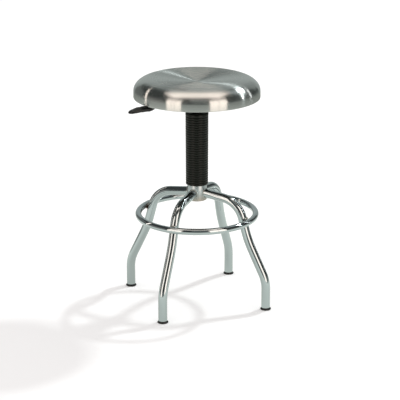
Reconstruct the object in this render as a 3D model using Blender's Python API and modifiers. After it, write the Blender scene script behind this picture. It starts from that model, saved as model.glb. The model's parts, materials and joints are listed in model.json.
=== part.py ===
# Swivel bar stool: a spun steel seat on a gas lift, a ribbed gaiter, four bent tube legs and a foot ring.
# Metres, +Z up. The origin is on the floor under the swivel axis, and the legs lie along the X and Y axes.

import math

import bmesh
import bpy
from mathutils import Matrix, Vector

# Clearances
GAP = 0.0003  # between pieces that touch
SLIP = 0.0005  # between pieces that turn, slide or plug together
WELD = 0.000001  # points closer than this are one

# Smoothness of round pieces
SEAT_STEPS = 44
HUB_STEPS = 32
LIFT_STEPS = 24
SMALL_STEPS = 12
HOLE_SIDES = 12
BEND_STEP = math.radians(13)
HEXAGON = 6
SHADE_ANGLE = math.radians(35)

# Hub
HUB_BOTTOM = 0.301
HUB_HEIGHT = 0.046
HUB_WALL = 0.00275
HUB_EDGE = 0.001

# Legs: an arm leaves the hub, bends down at the knee, splays at the shin and stands upright at the ankle
LEG_RADIUS = 0.0127
LEG_WALL = 0.0015
LEG_BEVEL_RESOLUTION = 4
ARM_RISE = 0.0208  # arm's centre line above the hub's bottom edge
KNEE_REACH = 0.1302
KNEE_DROP = 0.0124  # knee's corner below the start of the arm
KNEE_BEND = 0.070
SHIN_REACH = 0.1608
SHIN_HEIGHT = 0.200
SHIN_BEND = 0.300
FOOT_REACH = 0.2187
ANKLE_HEIGHT = 0.0843
ANKLE_BEND = 0.100
LEG_HEADINGS = {"front": -90.0, "right": 0.0, "rear": 90.0, "left": 180.0}

# Foot caps
CAP_OVERHANG = 0.003  # flange beyond the tube
CAP_HEIGHT = 0.006
CAP_EDGE = 0.0015
CAP_PLUG = 0.020

# Foot ring, welded to the outside of the legs
RING_HEIGHT = 0.258
RING_TUBE_RADIUS = 0.0095
RING_WALL = 0.0015
RING_SEGMENTS = 60
RING_SIDES = 10
RING_BORE_SIDES = 6
RING_HALVINGS = 40  # of the range in which the ring's radius is sought
DRAIN_RADIUS = 0.002
DRAIN_HEADING = math.radians(45)

# Stand tube of the gas lift
STAND_RADIUS = 0.025
STAND_WALL = 0.002
STAND_RECESS = 0.008  # floor of the stand tube above the hub's bottom edge
STAND_FLOOR = 0.003
STAND_HEADROOM = 0.0233  # from the stand tube's top to the taper socket
TAPER = math.tan(math.radians(1.43))
BUSH_LENGTH = 0.078
BUSH_FLANGE = 0.003

# Thrust bearing and buffer
RACE_THICKNESS = 0.002
RACE_RADIUS = 0.013
BALL_RADIUS = 0.002
BALL_CIRCLE = 0.009
BALL_COUNT = 8
BALL_SEGMENTS = 8
BALL_RINGS = 6
CAGE_THICKNESS = 0.001
CAGE_MARGIN = 0.0028  # cage beyond the balls' circle
BUFFER_HEIGHT = 0.0118
BUFFER_WALL = 0.007

# Piston rod, and what holds its lower end
STROKE = 0.120
ROD_RADIUS = 0.005
ROD_SHOULDER = 0.001
ROD_TAIL = 0.0065  # rod below the stand tube's floor
GROOVE_DEPTH = 0.0008
CLIP_THICKNESS = 0.0012
CLIP_WIDTH = 0.0035
WASHER_THICKNESS = 0.0024
WASHER_WIDTH = 0.0055
PISTON_HEIGHT = 0.010
PISTON_NUT_HEIGHT = 0.004
PISTON_NUT_WIDTH = 0.004

# Pressure tube, which rises with the seat
PRESSURE_RADIUS = 0.014
PRESSURE_WALL = 0.0015
PRESSURE_LENGTH = 0.2687
PRESSURE_TAPER_LENGTH = 0.040
PRESSURE_LIP = 0.0017
LIP_OPENING = 0.003  # between the rod and the rolled lip
ROD_GUIDE_HEIGHT = 0.011
VALVE_STEP = 0.0015
VALVE_LENGTH = 0.0165
VALVE_FLANGE = 0.003
RELEASE_RADIUS = 0.003
RELEASE_TAIL = 0.010  # release pin below the valve

# Ribbed gaiter
GAITER_ROOM = 0.0012  # between the stand tube and the gaiter
GAITER_WALL = 0.0011
GAITER_FLARE = 0.0012  # wider at the top than at the bottom
GAITER_LID = 0.003
GAITER_SHOULDER = 0.005
GAITER_SHOULDER_STEPS = 3
GAITER_TOP_CUFF = 0.012
GAITER_BOTTOM_CUFF = 0.004
RIB_COUNT = 29
RIB_DEPTH = 0.0035
GAITER_STEPS = 24

# Taper socket, housing and plate under the seat
SOCKET_WALL = 0.006
SOCKET_GRIP = 0.0387  # length of the pressure tube in the socket
SOCKET_REACH = 0.0367  # socket below the housing
SOCKET_FLANGE_WIDTH = 0.002
SOCKET_FLANGE_HEIGHT = 0.002
SHEET = 0.0025
HOUSING_ROOM = 0.001  # from the socket's flange to the housing's cheeks
HOUSING_HEIGHT = 0.0274
HOUSING_LIP = 0.012
HOUSING_FRONT = 0.055
HOUSING_BACK = 0.045
PLATE_HALF = 0.075
PLATE_THICKNESS = 0.003
PLATE_CORNER = 0.014
PLATE_CORNER_STEPS = 4

# Seat fasteners
BOLT_INSET = 0.015  # from the plate's edge
BOLT_RADIUS = 0.003
BOLT_LENGTH = 0.016
BOLT_HEAD_RADIUS = 0.0058
BOLT_HEAD_HEIGHT = 0.004
LOCK_WASHER_THICKNESS = 0.0011
LOCK_WASHER_WIDTH = 0.0027
INSERT_WALL = 0.0015
INSERT_LENGTH = 0.011

# Seat board and spun pan
BOARD_THICKNESS = 0.0145
BOARD_EDGE_REACH = 0.020  # board beyond the crest of the pan
BOARD_EDGE_DROP = 0.008
SEAT_RADIUS = 0.1785
PAN_THICKNESS = 0.0012
DISH_DEPTH = 0.0096
SHOULDER_WIDTH = 0.0489
SHOULDER_DROP = 0.0356
SKIRT_HEIGHT = 0.019
RIM_EDGE = 0.0015
RIM_LIP = 0.006
DISH_STEPS = 4
SHOULDER_STEPS = 7

# Lever
LEVER_HEADING = math.radians(235.9)
LEVER_SWING = math.radians(3.0)
LEVER_ROOM = 0.0013  # left under the rim when the lever is pulled up
PIVOT_REACH = 0.045
PIVOT_RISE = 0.010  # pivot above the housing's floor
PIVOT_PIN_RADIUS = 0.003
PIVOT_HEAD_WIDTH = 0.002
PIVOT_HEAD_HEIGHT = 0.002
PIVOT_TAIL = 0.002
PUSH_NUT_THICKNESS = 0.001
PUSH_NUT_WIDTH = 0.003
SLEEVE_WALL = 0.002
LEVER_ROD_RADIUS = 0.004
LEVER_ROD_BEVEL_RESOLUTION = 3
LEVER_OVERHANG = 0.007  # rod past the release pin
LEVER_BEND = 0.020
GRIP_START = 0.130
GRIP_ROOT = 0.156  # where the rod's line meets the middle of the paddle
GRIP_END = 0.2158
GRIP_SOCKET = 0.018  # depth of the rod in the grip
GRIP_WIDTH = 0.029
GRIP_THICKNESS = 0.012
GRIP_NECK_WALL = 0.0025
GRIP_DROOP = 0.0035
GRIP_POINTS = 16
GRIP_SQUARENESS = 0.8  # 1 is an ellipse, less is squarer

# Heights and radii that follow
HUB_TOP = HUB_BOTTOM + HUB_HEIGHT
HUB_RADIUS = STAND_RADIUS + HUB_WALL
ARM_HEIGHT = HUB_BOTTOM + ARM_RISE
STAND_BOTTOM = HUB_BOTTOM + STAND_RECESS
LOWER_RACE_BOTTOM = STAND_BOTTOM + STAND_FLOOR + GAP
BALL_HEIGHT = LOWER_RACE_BOTTOM + RACE_THICKNESS + GAP + BALL_RADIUS
UPPER_RACE_BOTTOM = BALL_HEIGHT + BALL_RADIUS + GAP
BUFFER_BOTTOM = UPPER_RACE_BOTTOM + RACE_THICKNESS + GAP
PRESSURE_BOTTOM = BUFFER_BOTTOM + BUFFER_HEIGHT + GAP
PRESSURE_TOP = PRESSURE_BOTTOM + PRESSURE_LENGTH
PRESSURE_BORE = PRESSURE_RADIUS - PRESSURE_WALL
ROD_GUIDE_BOTTOM = PRESSURE_BOTTOM + PRESSURE_LIP + GAP
PISTON_BOTTOM = ROD_GUIDE_BOTTOM + ROD_GUIDE_HEIGHT + STROKE + GAP
ROD_END_RADIUS = ROD_RADIUS - ROD_SHOULDER
VALVE_TOP = PRESSURE_TOP - PRESSURE_LIP - GAP
SOCKET_BOTTOM = PRESSURE_TOP - SOCKET_GRIP
SOCKET_RADIUS = PRESSURE_RADIUS + SOCKET_WALL
STAND_TOP = SOCKET_BOTTOM - STAND_HEADROOM
HOUSING_BOTTOM = SOCKET_BOTTOM + SOCKET_REACH
HOUSING_FLOOR = HOUSING_BOTTOM + SHEET
HOUSING_INSIDE = SOCKET_RADIUS + SOCKET_FLANGE_WIDTH + HOUSING_ROOM
HOUSING_HALF = HOUSING_INSIDE + SHEET
PLATE_BOTTOM = HOUSING_BOTTOM + HOUSING_HEIGHT + GAP
BOARD_BOTTOM = PLATE_BOTTOM + PLATE_THICKNESS + GAP
DISH_HEIGHT = BOARD_BOTTOM + BOARD_THICKNESS + GAP + PAN_THICKNESS
CREST_HEIGHT = DISH_HEIGHT + DISH_DEPTH
CREST_RADIUS = SEAT_RADIUS - SHOULDER_WIDTH
SKIRT_TOP = CREST_HEIGHT - SHOULDER_DROP
RIM_BOTTOM = SKIRT_TOP - SKIRT_HEIGHT
BOLT_PLACE = PLATE_HALF - BOLT_INSET
LOCK_WASHER_BOTTOM = PLATE_BOTTOM - GAP - LOCK_WASHER_THICKNESS
BOLT_HEAD_TOP = LOCK_WASHER_BOTTOM - GAP
INSERT_RADIUS = BOLT_RADIUS + GAP + INSERT_WALL
PIVOT_HEIGHT = HOUSING_FLOOR + PIVOT_RISE
RELEASE_TOP = PIVOT_HEIGHT - LEVER_ROD_RADIUS - GAP
LEVER_LIFT = (SEAT_RADIUS - PIVOT_REACH) * math.sin(LEVER_SWING)
GRIP_HEIGHT = RIM_BOTTOM - LEVER_ROOM - LEVER_LIFT - GRIP_THICKNESS / 2
GRIP_DROP = PIVOT_HEIGHT - GRIP_HEIGHT
LEVER_BEND_REACH = HOUSING_FRONT + LEVER_ROD_RADIUS
LEVER_SLOPE = GRIP_DROP / (GRIP_ROOT - LEVER_BEND_REACH)

# Colour, roughness and metallic value of each finish
FINISHES = {
    "chrome": ((0.62, 0.66, 0.64), 0.12, 1.0),
    "brushed_steel": ((0.58, 0.59, 0.57), 0.32, 1.0),
    "zinc_steel": ((0.50, 0.51, 0.52), 0.38, 1.0),
    "bearing_steel": ((0.56, 0.57, 0.58), 0.20, 1.0),
    "black_steel": ((0.05, 0.05, 0.05), 0.45, 0.6),
    "brass": ((0.72, 0.55, 0.28), 0.30, 1.0),
    "black_plastic": ((0.020, 0.020, 0.019), 0.42, 0.0),
    "black_rubber": ((0.015, 0.015, 0.015), 0.60, 0.0),
    "nylon": ((0.78, 0.77, 0.72), 0.50, 0.0),
    "plywood": ((0.52, 0.38, 0.23), 0.70, 0.0),
}

for leftover in list(bpy.data.objects):
    bpy.data.objects.remove(leftover)
PARTS = bpy.data.collections.new("swivel_bar_stool")
CUTTERS = bpy.data.collections.new("cutters")
bpy.context.scene.collection.children.link(PARTS)
bpy.context.scene.collection.children.link(CUTTERS)


# Objects, materials and modifiers


def add_empty(name, parent=None, location=(0.0, 0.0, 0.0), heading=0.0):
    empty = bpy.data.objects.new(name, None)
    empty.empty_display_size = 0.05
    empty.parent = parent
    empty.location = location
    empty.rotation_euler.z = heading
    PARTS.objects.link(empty)
    return empty


def add_part(name, mesh, finish, parent, location=(0.0, 0.0, 0.0), rotation=(0.0, 0.0, 0.0)):
    colour, roughness, metallic = FINISHES[finish]
    material = bpy.data.materials.new(name + "_" + finish)
    material.use_nodes = True
    shader = material.node_tree.nodes["Principled BSDF"]
    shader.inputs["Base Color"].default_value = (*colour, 1.0)
    shader.inputs["Roughness"].default_value = roughness
    shader.inputs["Metallic"].default_value = metallic
    if not mesh.materials:
        mesh.materials.append(None)
    part = bpy.data.objects.new(name, mesh)
    part.parent = parent
    part.location = location
    part.rotation_euler = rotation
    part.material_slots[0].link = "OBJECT"
    part.material_slots[0].material = material
    PARTS.objects.link(part)
    return part


def add_cutter(name, mesh, parent=None, location=(0.0, 0.0, 0.0), rotation=(0.0, 0.0, 0.0)):
    cutter = bpy.data.objects.new(name, mesh)
    cutter.parent = parent
    cutter.location = location
    cutter.rotation_euler = rotation
    cutter.hide_render = True
    cutter.display_type = "WIRE"
    CUTTERS.objects.link(cutter)
    return cutter


def add_boolean(part, other, operation="DIFFERENCE"):
    boolean = part.modifiers.new(other.name, "BOOLEAN")
    boolean.operation = operation
    boolean.solver = "EXACT"
    boolean.object = other


def add_screw(part, steps):
    screw = part.modifiers.new("turned", "SCREW")
    screw.axis = "Z"
    screw.angle = math.tau
    screw.steps = steps
    screw.render_steps = steps
    screw.use_merge_vertices = True
    screw.merge_threshold = WELD


def add_shell(part, thickness):
    """Wall inwards from an open surface."""
    shell = part.modifiers.new("shell", "SOLIDIFY")
    shell.thickness = thickness
    shell.offset = -1.0
    shell.use_even_offset = True


def finished_mesh(blank, name):
    """The mesh of a blank with its modifiers applied. The blank is removed."""
    evaluated = blank.evaluated_get(bpy.context.evaluated_depsgraph_get())
    mesh = bpy.data.meshes.new_from_object(evaluated)
    mesh.name = name
    bpy.data.objects.remove(blank)
    return mesh


# Meshes


def profile_mesh(name, outline, closed):
    """Edges through (radius, height) points, listed down the outer side."""
    points = [(radius, 0.0, height) for radius, height in outline]
    edges = [(index, index + 1) for index in range(len(points) - 1)]
    if closed:
        edges.append((len(points) - 1, 0))
    mesh = bpy.data.meshes.new(name)
    mesh.from_pydata(points, edges, [])
    return mesh


def turned_part(name, outline, finish, parent, closed=True, steps=LIFT_STEPS, **place):
    part = add_part(name, profile_mesh(name, outline, closed), finish, parent, **place)
    add_screw(part, steps)
    return part


def turned_mesh(name, outline, closed=True, steps=SMALL_STEPS):
    blank = add_cutter(name + "_blank", profile_mesh(name, outline, closed))
    add_screw(blank, steps)
    return finished_mesh(blank, name)


def ring_outline(inner, outer, bottom, top):
    return [(outer, top), (outer, bottom), (inner, bottom), (inner, top)]


def cylinder_mesh(name, radius, bottom, top, sides=HOLE_SIDES):
    shape = bmesh.new()
    middle = Matrix.Translation((0.0, 0.0, (bottom + top) / 2))
    bmesh.ops.create_cone(shape, cap_ends=True, segments=sides, radius1=radius, radius2=radius,
                          depth=top - bottom, matrix=middle)
    mesh = bpy.data.meshes.new(name)
    shape.to_mesh(mesh)
    shape.free()
    return mesh


def torus_mesh(name, major, minor, sides):
    bpy.ops.mesh.primitive_torus_add(major_radius=major, minor_radius=minor,
                                     major_segments=RING_SEGMENTS, minor_segments=sides)
    torus = bpy.context.object
    mesh = torus.data
    mesh.name = name
    bpy.data.objects.remove(torus)
    return mesh


def copies_mesh(name, mesh, places):
    """One mesh that holds a copy of another at each place."""
    shape = bmesh.new()
    for place in places:
        single = mesh.copy()
        single.transform(place)
        shape.from_mesh(single)
        bpy.data.meshes.remove(single)
    group = bpy.data.meshes.new(name)
    shape.to_mesh(group)
    shape.free()
    return group


def curve_mesh(curve):
    """A curve's surface as a mesh with its caps, if any, welded on."""
    holder = bpy.data.objects.new(curve.name, curve)
    CUTTERS.objects.link(holder)
    mesh = finished_mesh(holder, curve.name)
    shape = bmesh.new()
    shape.from_mesh(mesh)
    bmesh.ops.remove_doubles(shape, verts=shape.verts, dist=WELD)
    bmesh.ops.recalc_face_normals(shape, faces=shape.faces)
    shape.to_mesh(mesh)
    shape.free()
    return mesh


def add_poly_spline(curve, path, cyclic):
    spline = curve.splines.new("POLY")
    spline.points.add(len(path) - 1)
    for point, place in zip(spline.points, path):
        point.co = (*place, 1.0)
    spline.use_cyclic_u = cyclic


def tube_mesh(name, path, radius, bevel_resolution, capped=True):
    curve = bpy.data.curves.new(name, "CURVE")
    curve.dimensions = "3D"
    curve.bevel_depth = radius
    curve.bevel_resolution = bevel_resolution
    curve.use_fill_caps = capped
    add_poly_spline(curve, path, cyclic=False)
    return curve_mesh(curve)


def sheet_mesh(name, outline, thickness):
    """A flat outline made thick to both sides of its plane."""
    curve = bpy.data.curves.new(name, "CURVE")
    curve.dimensions = "2D"
    curve.fill_mode = "BOTH"
    curve.extrude = thickness / 2
    add_poly_spline(curve, [(across, along, 0.0) for across, along in outline], cyclic=True)
    return curve_mesh(curve)


def smooth(part):
    part.data.shade_smooth()
    part.data.set_sharp_from_angle(angle=SHADE_ANGLE)


# Paths


def rounded_path(corners, bends):
    """Straight runs between corners, with each inner corner rounded to its bend radius."""
    path = [corners[0]]
    for before, corner, after, bend in zip(corners, corners[1:], corners[2:], bends):
        arriving = (corner - before).normalized()
        leaving = (after - corner).normalized()
        turn = arriving.angle(leaving)
        inward = (leaving - arriving * arriving.dot(leaving)).normalized()
        start = corner - arriving * bend * math.tan(turn / 2)
        centre = start + inward * bend
        count = max(2, round(turn / BEND_STEP))
        for index in range(count + 1):
            angle = turn * index / count
            path.append(centre + (arriving * math.sin(angle) - inward * math.cos(angle)) * bend)
    path.append(corners[-1])
    return path


def leg_path():
    """Centre line of a leg in the XZ plane, from inside the hub to the top of its foot cap."""
    hub_corner = Vector((HUB_RADIUS, 0.0, ARM_HEIGHT))
    knee = Vector((KNEE_REACH, 0.0, ARM_HEIGHT - KNEE_DROP))
    shin = Vector((SHIN_REACH, 0.0, SHIN_HEIGHT))
    ankle = Vector((FOOT_REACH, 0.0, ANKLE_HEIGHT))
    foot = Vector((FOOT_REACH, 0.0, CAP_HEIGHT + GAP))
    start = hub_corner + (hub_corner - knee).normalized() * HUB_RADIUS / 2
    return rounded_path([start, knee, shin, ankle, foot], [KNEE_BEND, SHIN_BEND, ANKLE_BEND])


def distance_to_path(point, path):
    nearest = []
    for start, end in zip(path, path[1:]):
        run = end - start
        share = (point - start).dot(run) / run.length_squared
        share = min(1.0, max(0.0, share))
        nearest.append((start + run * share - point).length)
    return min(nearest)


def ring_radius(path):
    """Radius at which the foot ring just meets the outside of the legs."""
    wanted = LEG_RADIUS + RING_TUBE_RADIUS + GAP
    crossing = None
    for start, end in zip(path, path[1:]):
        if start.z >= RING_HEIGHT >= end.z:
            crossing = start.lerp(end, (start.z - RING_HEIGHT) / (start.z - end.z)).x
    near = crossing
    far = crossing + 2 * wanted
    for halving in range(RING_HALVINGS):
        middle = (near + far) / 2
        if distance_to_path(Vector((middle, 0.0, RING_HEIGHT)), path) < wanted:
            near = middle
        else:
            far = middle
    return far


def stand_radius(height):
    return STAND_RADIUS - max(0.0, HUB_TOP - height) * TAPER


def pressure_radius(height):
    return PRESSURE_RADIUS - max(0.0, height - PRESSURE_TOP + PRESSURE_TAPER_LENGTH) * TAPER


# Base: hub, legs, foot caps and foot ring


def build_base(base):
    turned_part("hub_tube", [
        (HUB_RADIUS - HUB_EDGE, HUB_TOP),
        (HUB_RADIUS, HUB_TOP - HUB_EDGE),
        (HUB_RADIUS, HUB_BOTTOM + HUB_EDGE),
        (HUB_RADIUS - HUB_EDGE, HUB_BOTTOM),
        (stand_radius(HUB_BOTTOM) + GAP, HUB_BOTTOM),
        (stand_radius(HUB_TOP) + GAP, HUB_TOP),
    ], "chrome", base, steps=HUB_STEPS)

    path = leg_path()
    outside = tube_mesh("leg_outside", path, LEG_RADIUS, LEG_BEVEL_RESOLUTION, capped=False)
    blank = add_cutter("leg_blank", outside)
    add_shell(blank, LEG_WALL)
    cope = cylinder_mesh("hub_cope", HUB_RADIUS + GAP, ARM_HEIGHT - HUB_HEIGHT, ARM_HEIGHT + HUB_HEIGHT,
                         sides=HUB_STEPS)
    half_facet = (0.0, 0.0, math.pi / HUB_STEPS)
    add_boolean(blank, add_cutter("hub_cope", cope, rotation=half_facet))
    leg = finished_mesh(blank, "leg")

    plug = LEG_RADIUS - LEG_WALL - SLIP
    flange = LEG_RADIUS + CAP_OVERHANG
    cap = profile_mesh("foot_cap", [
        (0.0, CAP_HEIGHT + CAP_PLUG),
        (plug - CAP_EDGE, CAP_HEIGHT + CAP_PLUG),
        (plug, CAP_HEIGHT + CAP_PLUG - CAP_EDGE),
        (plug, CAP_HEIGHT),
        (LEG_RADIUS, CAP_HEIGHT),
        (flange, CAP_EDGE),
        (flange, 0.0),
        (0.0, 0.0),
    ], closed=False)
    for side, degrees in LEG_HEADINGS.items():
        heading = math.radians(degrees)
        part = add_part("leg_" + side, leg, "chrome", base, rotation=(0.0, 0.0, heading))
        smooth(part)
        place = (FOOT_REACH * math.cos(heading), FOOT_REACH * math.sin(heading), 0.0)
        foot = add_part("foot_cap_" + side, cap, "black_plastic", base, location=place)
        add_screw(foot, SMALL_STEPS)

    middle = ring_radius(path)
    centre = (0.0, 0.0, RING_HEIGHT)
    outside = torus_mesh("foot_ring", middle, RING_TUBE_RADIUS, RING_SIDES)
    ring = add_part("foot_ring", outside, "chrome", base, location=centre)
    hollow = torus_mesh("ring_bore", middle, RING_TUBE_RADIUS - RING_WALL, RING_BORE_SIDES)
    add_boolean(ring, add_cutter("ring_bore", hollow, base, location=centre))
    drain = cylinder_mesh("ring_drain", DRAIN_RADIUS, -2 * RING_TUBE_RADIUS, 0.0)
    drain_place = (middle * math.cos(DRAIN_HEADING), middle * math.sin(DRAIN_HEADING), RING_HEIGHT)
    add_boolean(ring, add_cutter("ring_drain", drain, base, location=drain_place))
    smooth(ring)


# Gas lift


def build_stand(base):
    bearing_bore = ROD_END_RADIUS + SLIP
    floor_top = STAND_BOTTOM + STAND_FLOOR
    turned_part("outer_tube", [
        (STAND_RADIUS, STAND_TOP),
        (STAND_RADIUS, HUB_TOP),
        (stand_radius(STAND_BOTTOM), STAND_BOTTOM),
        (bearing_bore, STAND_BOTTOM),
        (bearing_bore, floor_top),
        (stand_radius(floor_top) - STAND_WALL, floor_top),
        (STAND_RADIUS - STAND_WALL, HUB_TOP),
        (STAND_RADIUS - STAND_WALL, STAND_TOP),
    ], "black_steel", base)

    bush_bore = PRESSURE_RADIUS + SLIP
    bush_outside = STAND_RADIUS - STAND_WALL - GAP
    turned_part("guide_bush", [
        (STAND_RADIUS, STAND_TOP + GAP + BUSH_FLANGE),
        (STAND_RADIUS, STAND_TOP + GAP),
        (bush_outside, STAND_TOP + GAP),
        (bush_outside, STAND_TOP - BUSH_LENGTH),
        (bush_bore, STAND_TOP - BUSH_LENGTH),
        (bush_bore, STAND_TOP + GAP + BUSH_FLANGE),
    ], "nylon", base)

    lower_race = ring_outline(bearing_bore, RACE_RADIUS, LOWER_RACE_BOTTOM,
                              LOWER_RACE_BOTTOM + RACE_THICKNESS)
    turned_part("bearing_lower_race", lower_race, "bearing_steel", base, steps=SMALL_STEPS)


def build_spindle(spindle):
    turns = [Matrix.Rotation(math.tau * index / BALL_COUNT, 4, "Z") for index in range(BALL_COUNT)]
    ball = bmesh.new()
    bmesh.ops.create_uvsphere(ball, u_segments=BALL_SEGMENTS, v_segments=BALL_RINGS, radius=BALL_RADIUS,
                              matrix=Matrix.Translation((BALL_CIRCLE, 0.0, BALL_HEIGHT)))
    ball_mesh = bpy.data.meshes.new("bearing_ball")
    ball.to_mesh(ball_mesh)
    ball.free()
    for number, turn in enumerate(turns, 1):
        part = add_part("bearing_ball_" + str(number), ball_mesh, "bearing_steel", spindle,
                        rotation=turn.to_euler())
        smooth(part)

    cage_bottom = BALL_HEIGHT - CAGE_THICKNESS / 2
    cage_outline = ring_outline(BALL_CIRCLE - CAGE_MARGIN, BALL_CIRCLE + CAGE_MARGIN,
                                cage_bottom, cage_bottom + CAGE_THICKNESS)
    cage = turned_part("ball_cage", cage_outline, "brass", spindle, steps=SMALL_STEPS)
    pocket = cylinder_mesh("ball_pocket", BALL_RADIUS + GAP, -BALL_RADIUS, BALL_RADIUS)
    pocket.transform(Matrix.Translation((BALL_CIRCLE, 0.0, BALL_HEIGHT)))
    add_boolean(cage, add_cutter("ball_pockets", copies_mesh("ball_pockets", pocket, turns), spindle))

    upper_race = ring_outline(ROD_END_RADIUS + GAP, RACE_RADIUS, UPPER_RACE_BOTTOM,
                              UPPER_RACE_BOTTOM + RACE_THICKNESS)
    turned_part("bearing_upper_race", upper_race, "bearing_steel", spindle, steps=SMALL_STEPS)
    buffer_bore = ROD_RADIUS + GAP
    buffer_outline = ring_outline(buffer_bore, buffer_bore + BUFFER_WALL, BUFFER_BOTTOM,
                                  BUFFER_BOTTOM + BUFFER_HEIGHT)
    turned_part("rubber_buffer", buffer_outline, "black_rubber", spindle, steps=SMALL_STEPS)

    nut_bottom = PISTON_BOTTOM + PISTON_HEIGHT + GAP
    nut_top = nut_bottom + PISTON_NUT_HEIGHT
    washer_top = STAND_BOTTOM - GAP
    clip_top = washer_top - WASHER_THICKNESS - GAP
    groove_top = clip_top + GAP
    groove_bottom = clip_top - CLIP_THICKNESS - GAP
    groove_radius = ROD_END_RADIUS - GROOVE_DEPTH
    rod_end = STAND_BOTTOM - ROD_TAIL
    turned_part("piston_rod", [
        (0.0, nut_top),
        (ROD_END_RADIUS, nut_top),
        (ROD_END_RADIUS, PISTON_BOTTOM - GAP),
        (ROD_RADIUS, PISTON_BOTTOM - GAP),
        (ROD_RADIUS, BUFFER_BOTTOM),
        (ROD_END_RADIUS, BUFFER_BOTTOM),
        (ROD_END_RADIUS, groove_top),
        (groove_radius, groove_top),
        (groove_radius, groove_bottom),
        (ROD_END_RADIUS, groove_bottom),
        (ROD_END_RADIUS, rod_end),
        (0.0, rod_end),
    ], "bearing_steel", spindle, closed=False, steps=SMALL_STEPS)
    piston_outline = ring_outline(ROD_END_RADIUS + GAP, PRESSURE_BORE - GAP, PISTON_BOTTOM,
                                  PISTON_BOTTOM + PISTON_HEIGHT)
    turned_part("piston", piston_outline, "black_plastic", spindle, steps=SMALL_STEPS)
    nut_bore = (ROD_END_RADIUS + GAP) / math.cos(math.pi / HEXAGON)
    nut_outline = ring_outline(nut_bore, nut_bore + PISTON_NUT_WIDTH, nut_bottom, nut_top)
    turned_part("piston_nut", nut_outline, "zinc_steel", spindle, steps=HEXAGON)

    washer_bore = ROD_END_RADIUS + GAP
    washer_outline = ring_outline(washer_bore, washer_bore + WASHER_WIDTH, washer_top - WASHER_THICKNESS,
                                  washer_top)
    turned_part("clip_washer", washer_outline, "zinc_steel", spindle, steps=SMALL_STEPS)
    clip_bore = groove_radius + GAP
    clip_outline = ring_outline(clip_bore, clip_bore + CLIP_WIDTH, clip_top - CLIP_THICKNESS, clip_top)
    clip = turned_part("retaining_clip", clip_outline, "zinc_steel", spindle, steps=SMALL_STEPS)
    mouth = sheet_mesh("clip_mouth", [
        (0.0, -groove_radius),
        (2 * (clip_bore + CLIP_WIDTH), -groove_radius),
        (2 * (clip_bore + CLIP_WIDTH), groove_radius),
        (0.0, groove_radius),
    ], 4 * CLIP_THICKNESS)
    add_boolean(clip, add_cutter("clip_mouth", mouth, spindle, location=(0.0, 0.0, clip_top)))


def build_gaiter(spindle):
    """A ribbed tube with a plain bore, closed by a lid under the taper socket."""
    bottom = HUB_TOP + GAP
    top = SOCKET_BOTTOM - GAP
    bore = STAND_RADIUS + GAITER_ROOM
    valley = bore + GAITER_WALL
    ribs_top = top - GAITER_TOP_CUFF
    ribs_bottom = bottom + GAITER_BOTTOM_CUFF
    pitch = (ribs_top - ribs_bottom) / RIB_COUNT

    def flare(height):
        return GAITER_FLARE * (height - bottom) / (top - bottom)

    widest = valley + RIB_DEPTH + flare(top)
    outline = [(PRESSURE_RADIUS + SLIP, top)]
    for index in range(GAITER_SHOULDER_STEPS + 1):
        angle = math.pi / 2 * index / GAITER_SHOULDER_STEPS
        outline.append((widest - GAITER_SHOULDER * (1 - math.sin(angle)),
                        top - GAITER_SHOULDER * (1 - math.cos(angle))))
    for index in range(RIB_COUNT):
        crest = ribs_top - index * pitch
        trough = crest - pitch / 2
        outline.append((valley + RIB_DEPTH + flare(crest), crest))
        outline.append((valley + flare(trough), trough))
    outline.append((valley + RIB_DEPTH, ribs_bottom))
    outline.append((valley + RIB_DEPTH, bottom))
    outline.append((bore, bottom))
    outline.append((bore, top - GAITER_LID))
    outline.append((PRESSURE_RADIUS + SLIP, top - GAITER_LID))
    turned_part("bellows", outline, "black_rubber", spindle, steps=GAITER_STEPS)


def build_pressure_tube(lift):
    lower_lip = ROD_RADIUS + LIP_OPENING
    upper_lip = RELEASE_RADIUS + LIP_OPENING
    valve_bore = PRESSURE_BORE - VALVE_STEP
    valve_seat = VALVE_TOP - VALVE_LENGTH
    turned_part("pressure_tube", [
        (pressure_radius(PRESSURE_TOP), PRESSURE_TOP),
        (PRESSURE_RADIUS, PRESSURE_TOP - PRESSURE_TAPER_LENGTH),
        (PRESSURE_RADIUS, PRESSURE_BOTTOM),
        (lower_lip, PRESSURE_BOTTOM),
        (lower_lip, PRESSURE_BOTTOM + PRESSURE_LIP),
        (PRESSURE_BORE, PRESSURE_BOTTOM + PRESSURE_LIP),
        (PRESSURE_BORE, valve_seat),
        (valve_bore, valve_seat),
        (valve_bore, PRESSURE_TOP - PRESSURE_LIP),
        (upper_lip, PRESSURE_TOP - PRESSURE_LIP),
        (upper_lip, PRESSURE_TOP),
    ], "black_steel", lift)

    guide_outline = ring_outline(ROD_RADIUS + GAP, PRESSURE_BORE - GAP, ROD_GUIDE_BOTTOM,
                                 ROD_GUIDE_BOTTOM + ROD_GUIDE_HEIGHT)
    turned_part("rod_guide", guide_outline, "nylon", lift, steps=SMALL_STEPS)

    flange_top = valve_seat - GAP
    turned_part("valve_body", [
        (valve_bore - GAP, VALVE_TOP),
        (valve_bore - GAP, flange_top),
        (PRESSURE_BORE - GAP, flange_top),
        (PRESSURE_BORE - GAP, flange_top - VALVE_FLANGE),
        (RELEASE_RADIUS + GAP, flange_top - VALVE_FLANGE),
        (RELEASE_RADIUS + GAP, VALVE_TOP),
    ], "brass", lift, steps=SMALL_STEPS)


def build_release_pin(release):
    tail = VALVE_TOP - VALVE_LENGTH - VALVE_FLANGE - RELEASE_TAIL
    outline = [(0.0, RELEASE_TOP), (RELEASE_RADIUS, RELEASE_TOP), (RELEASE_RADIUS, tail), (0.0, tail)]
    turned_part("release_pin", outline, "bearing_steel", release, closed=False, steps=SMALL_STEPS)


# Seat: socket, housing, plate, fasteners, board and pan


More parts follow.
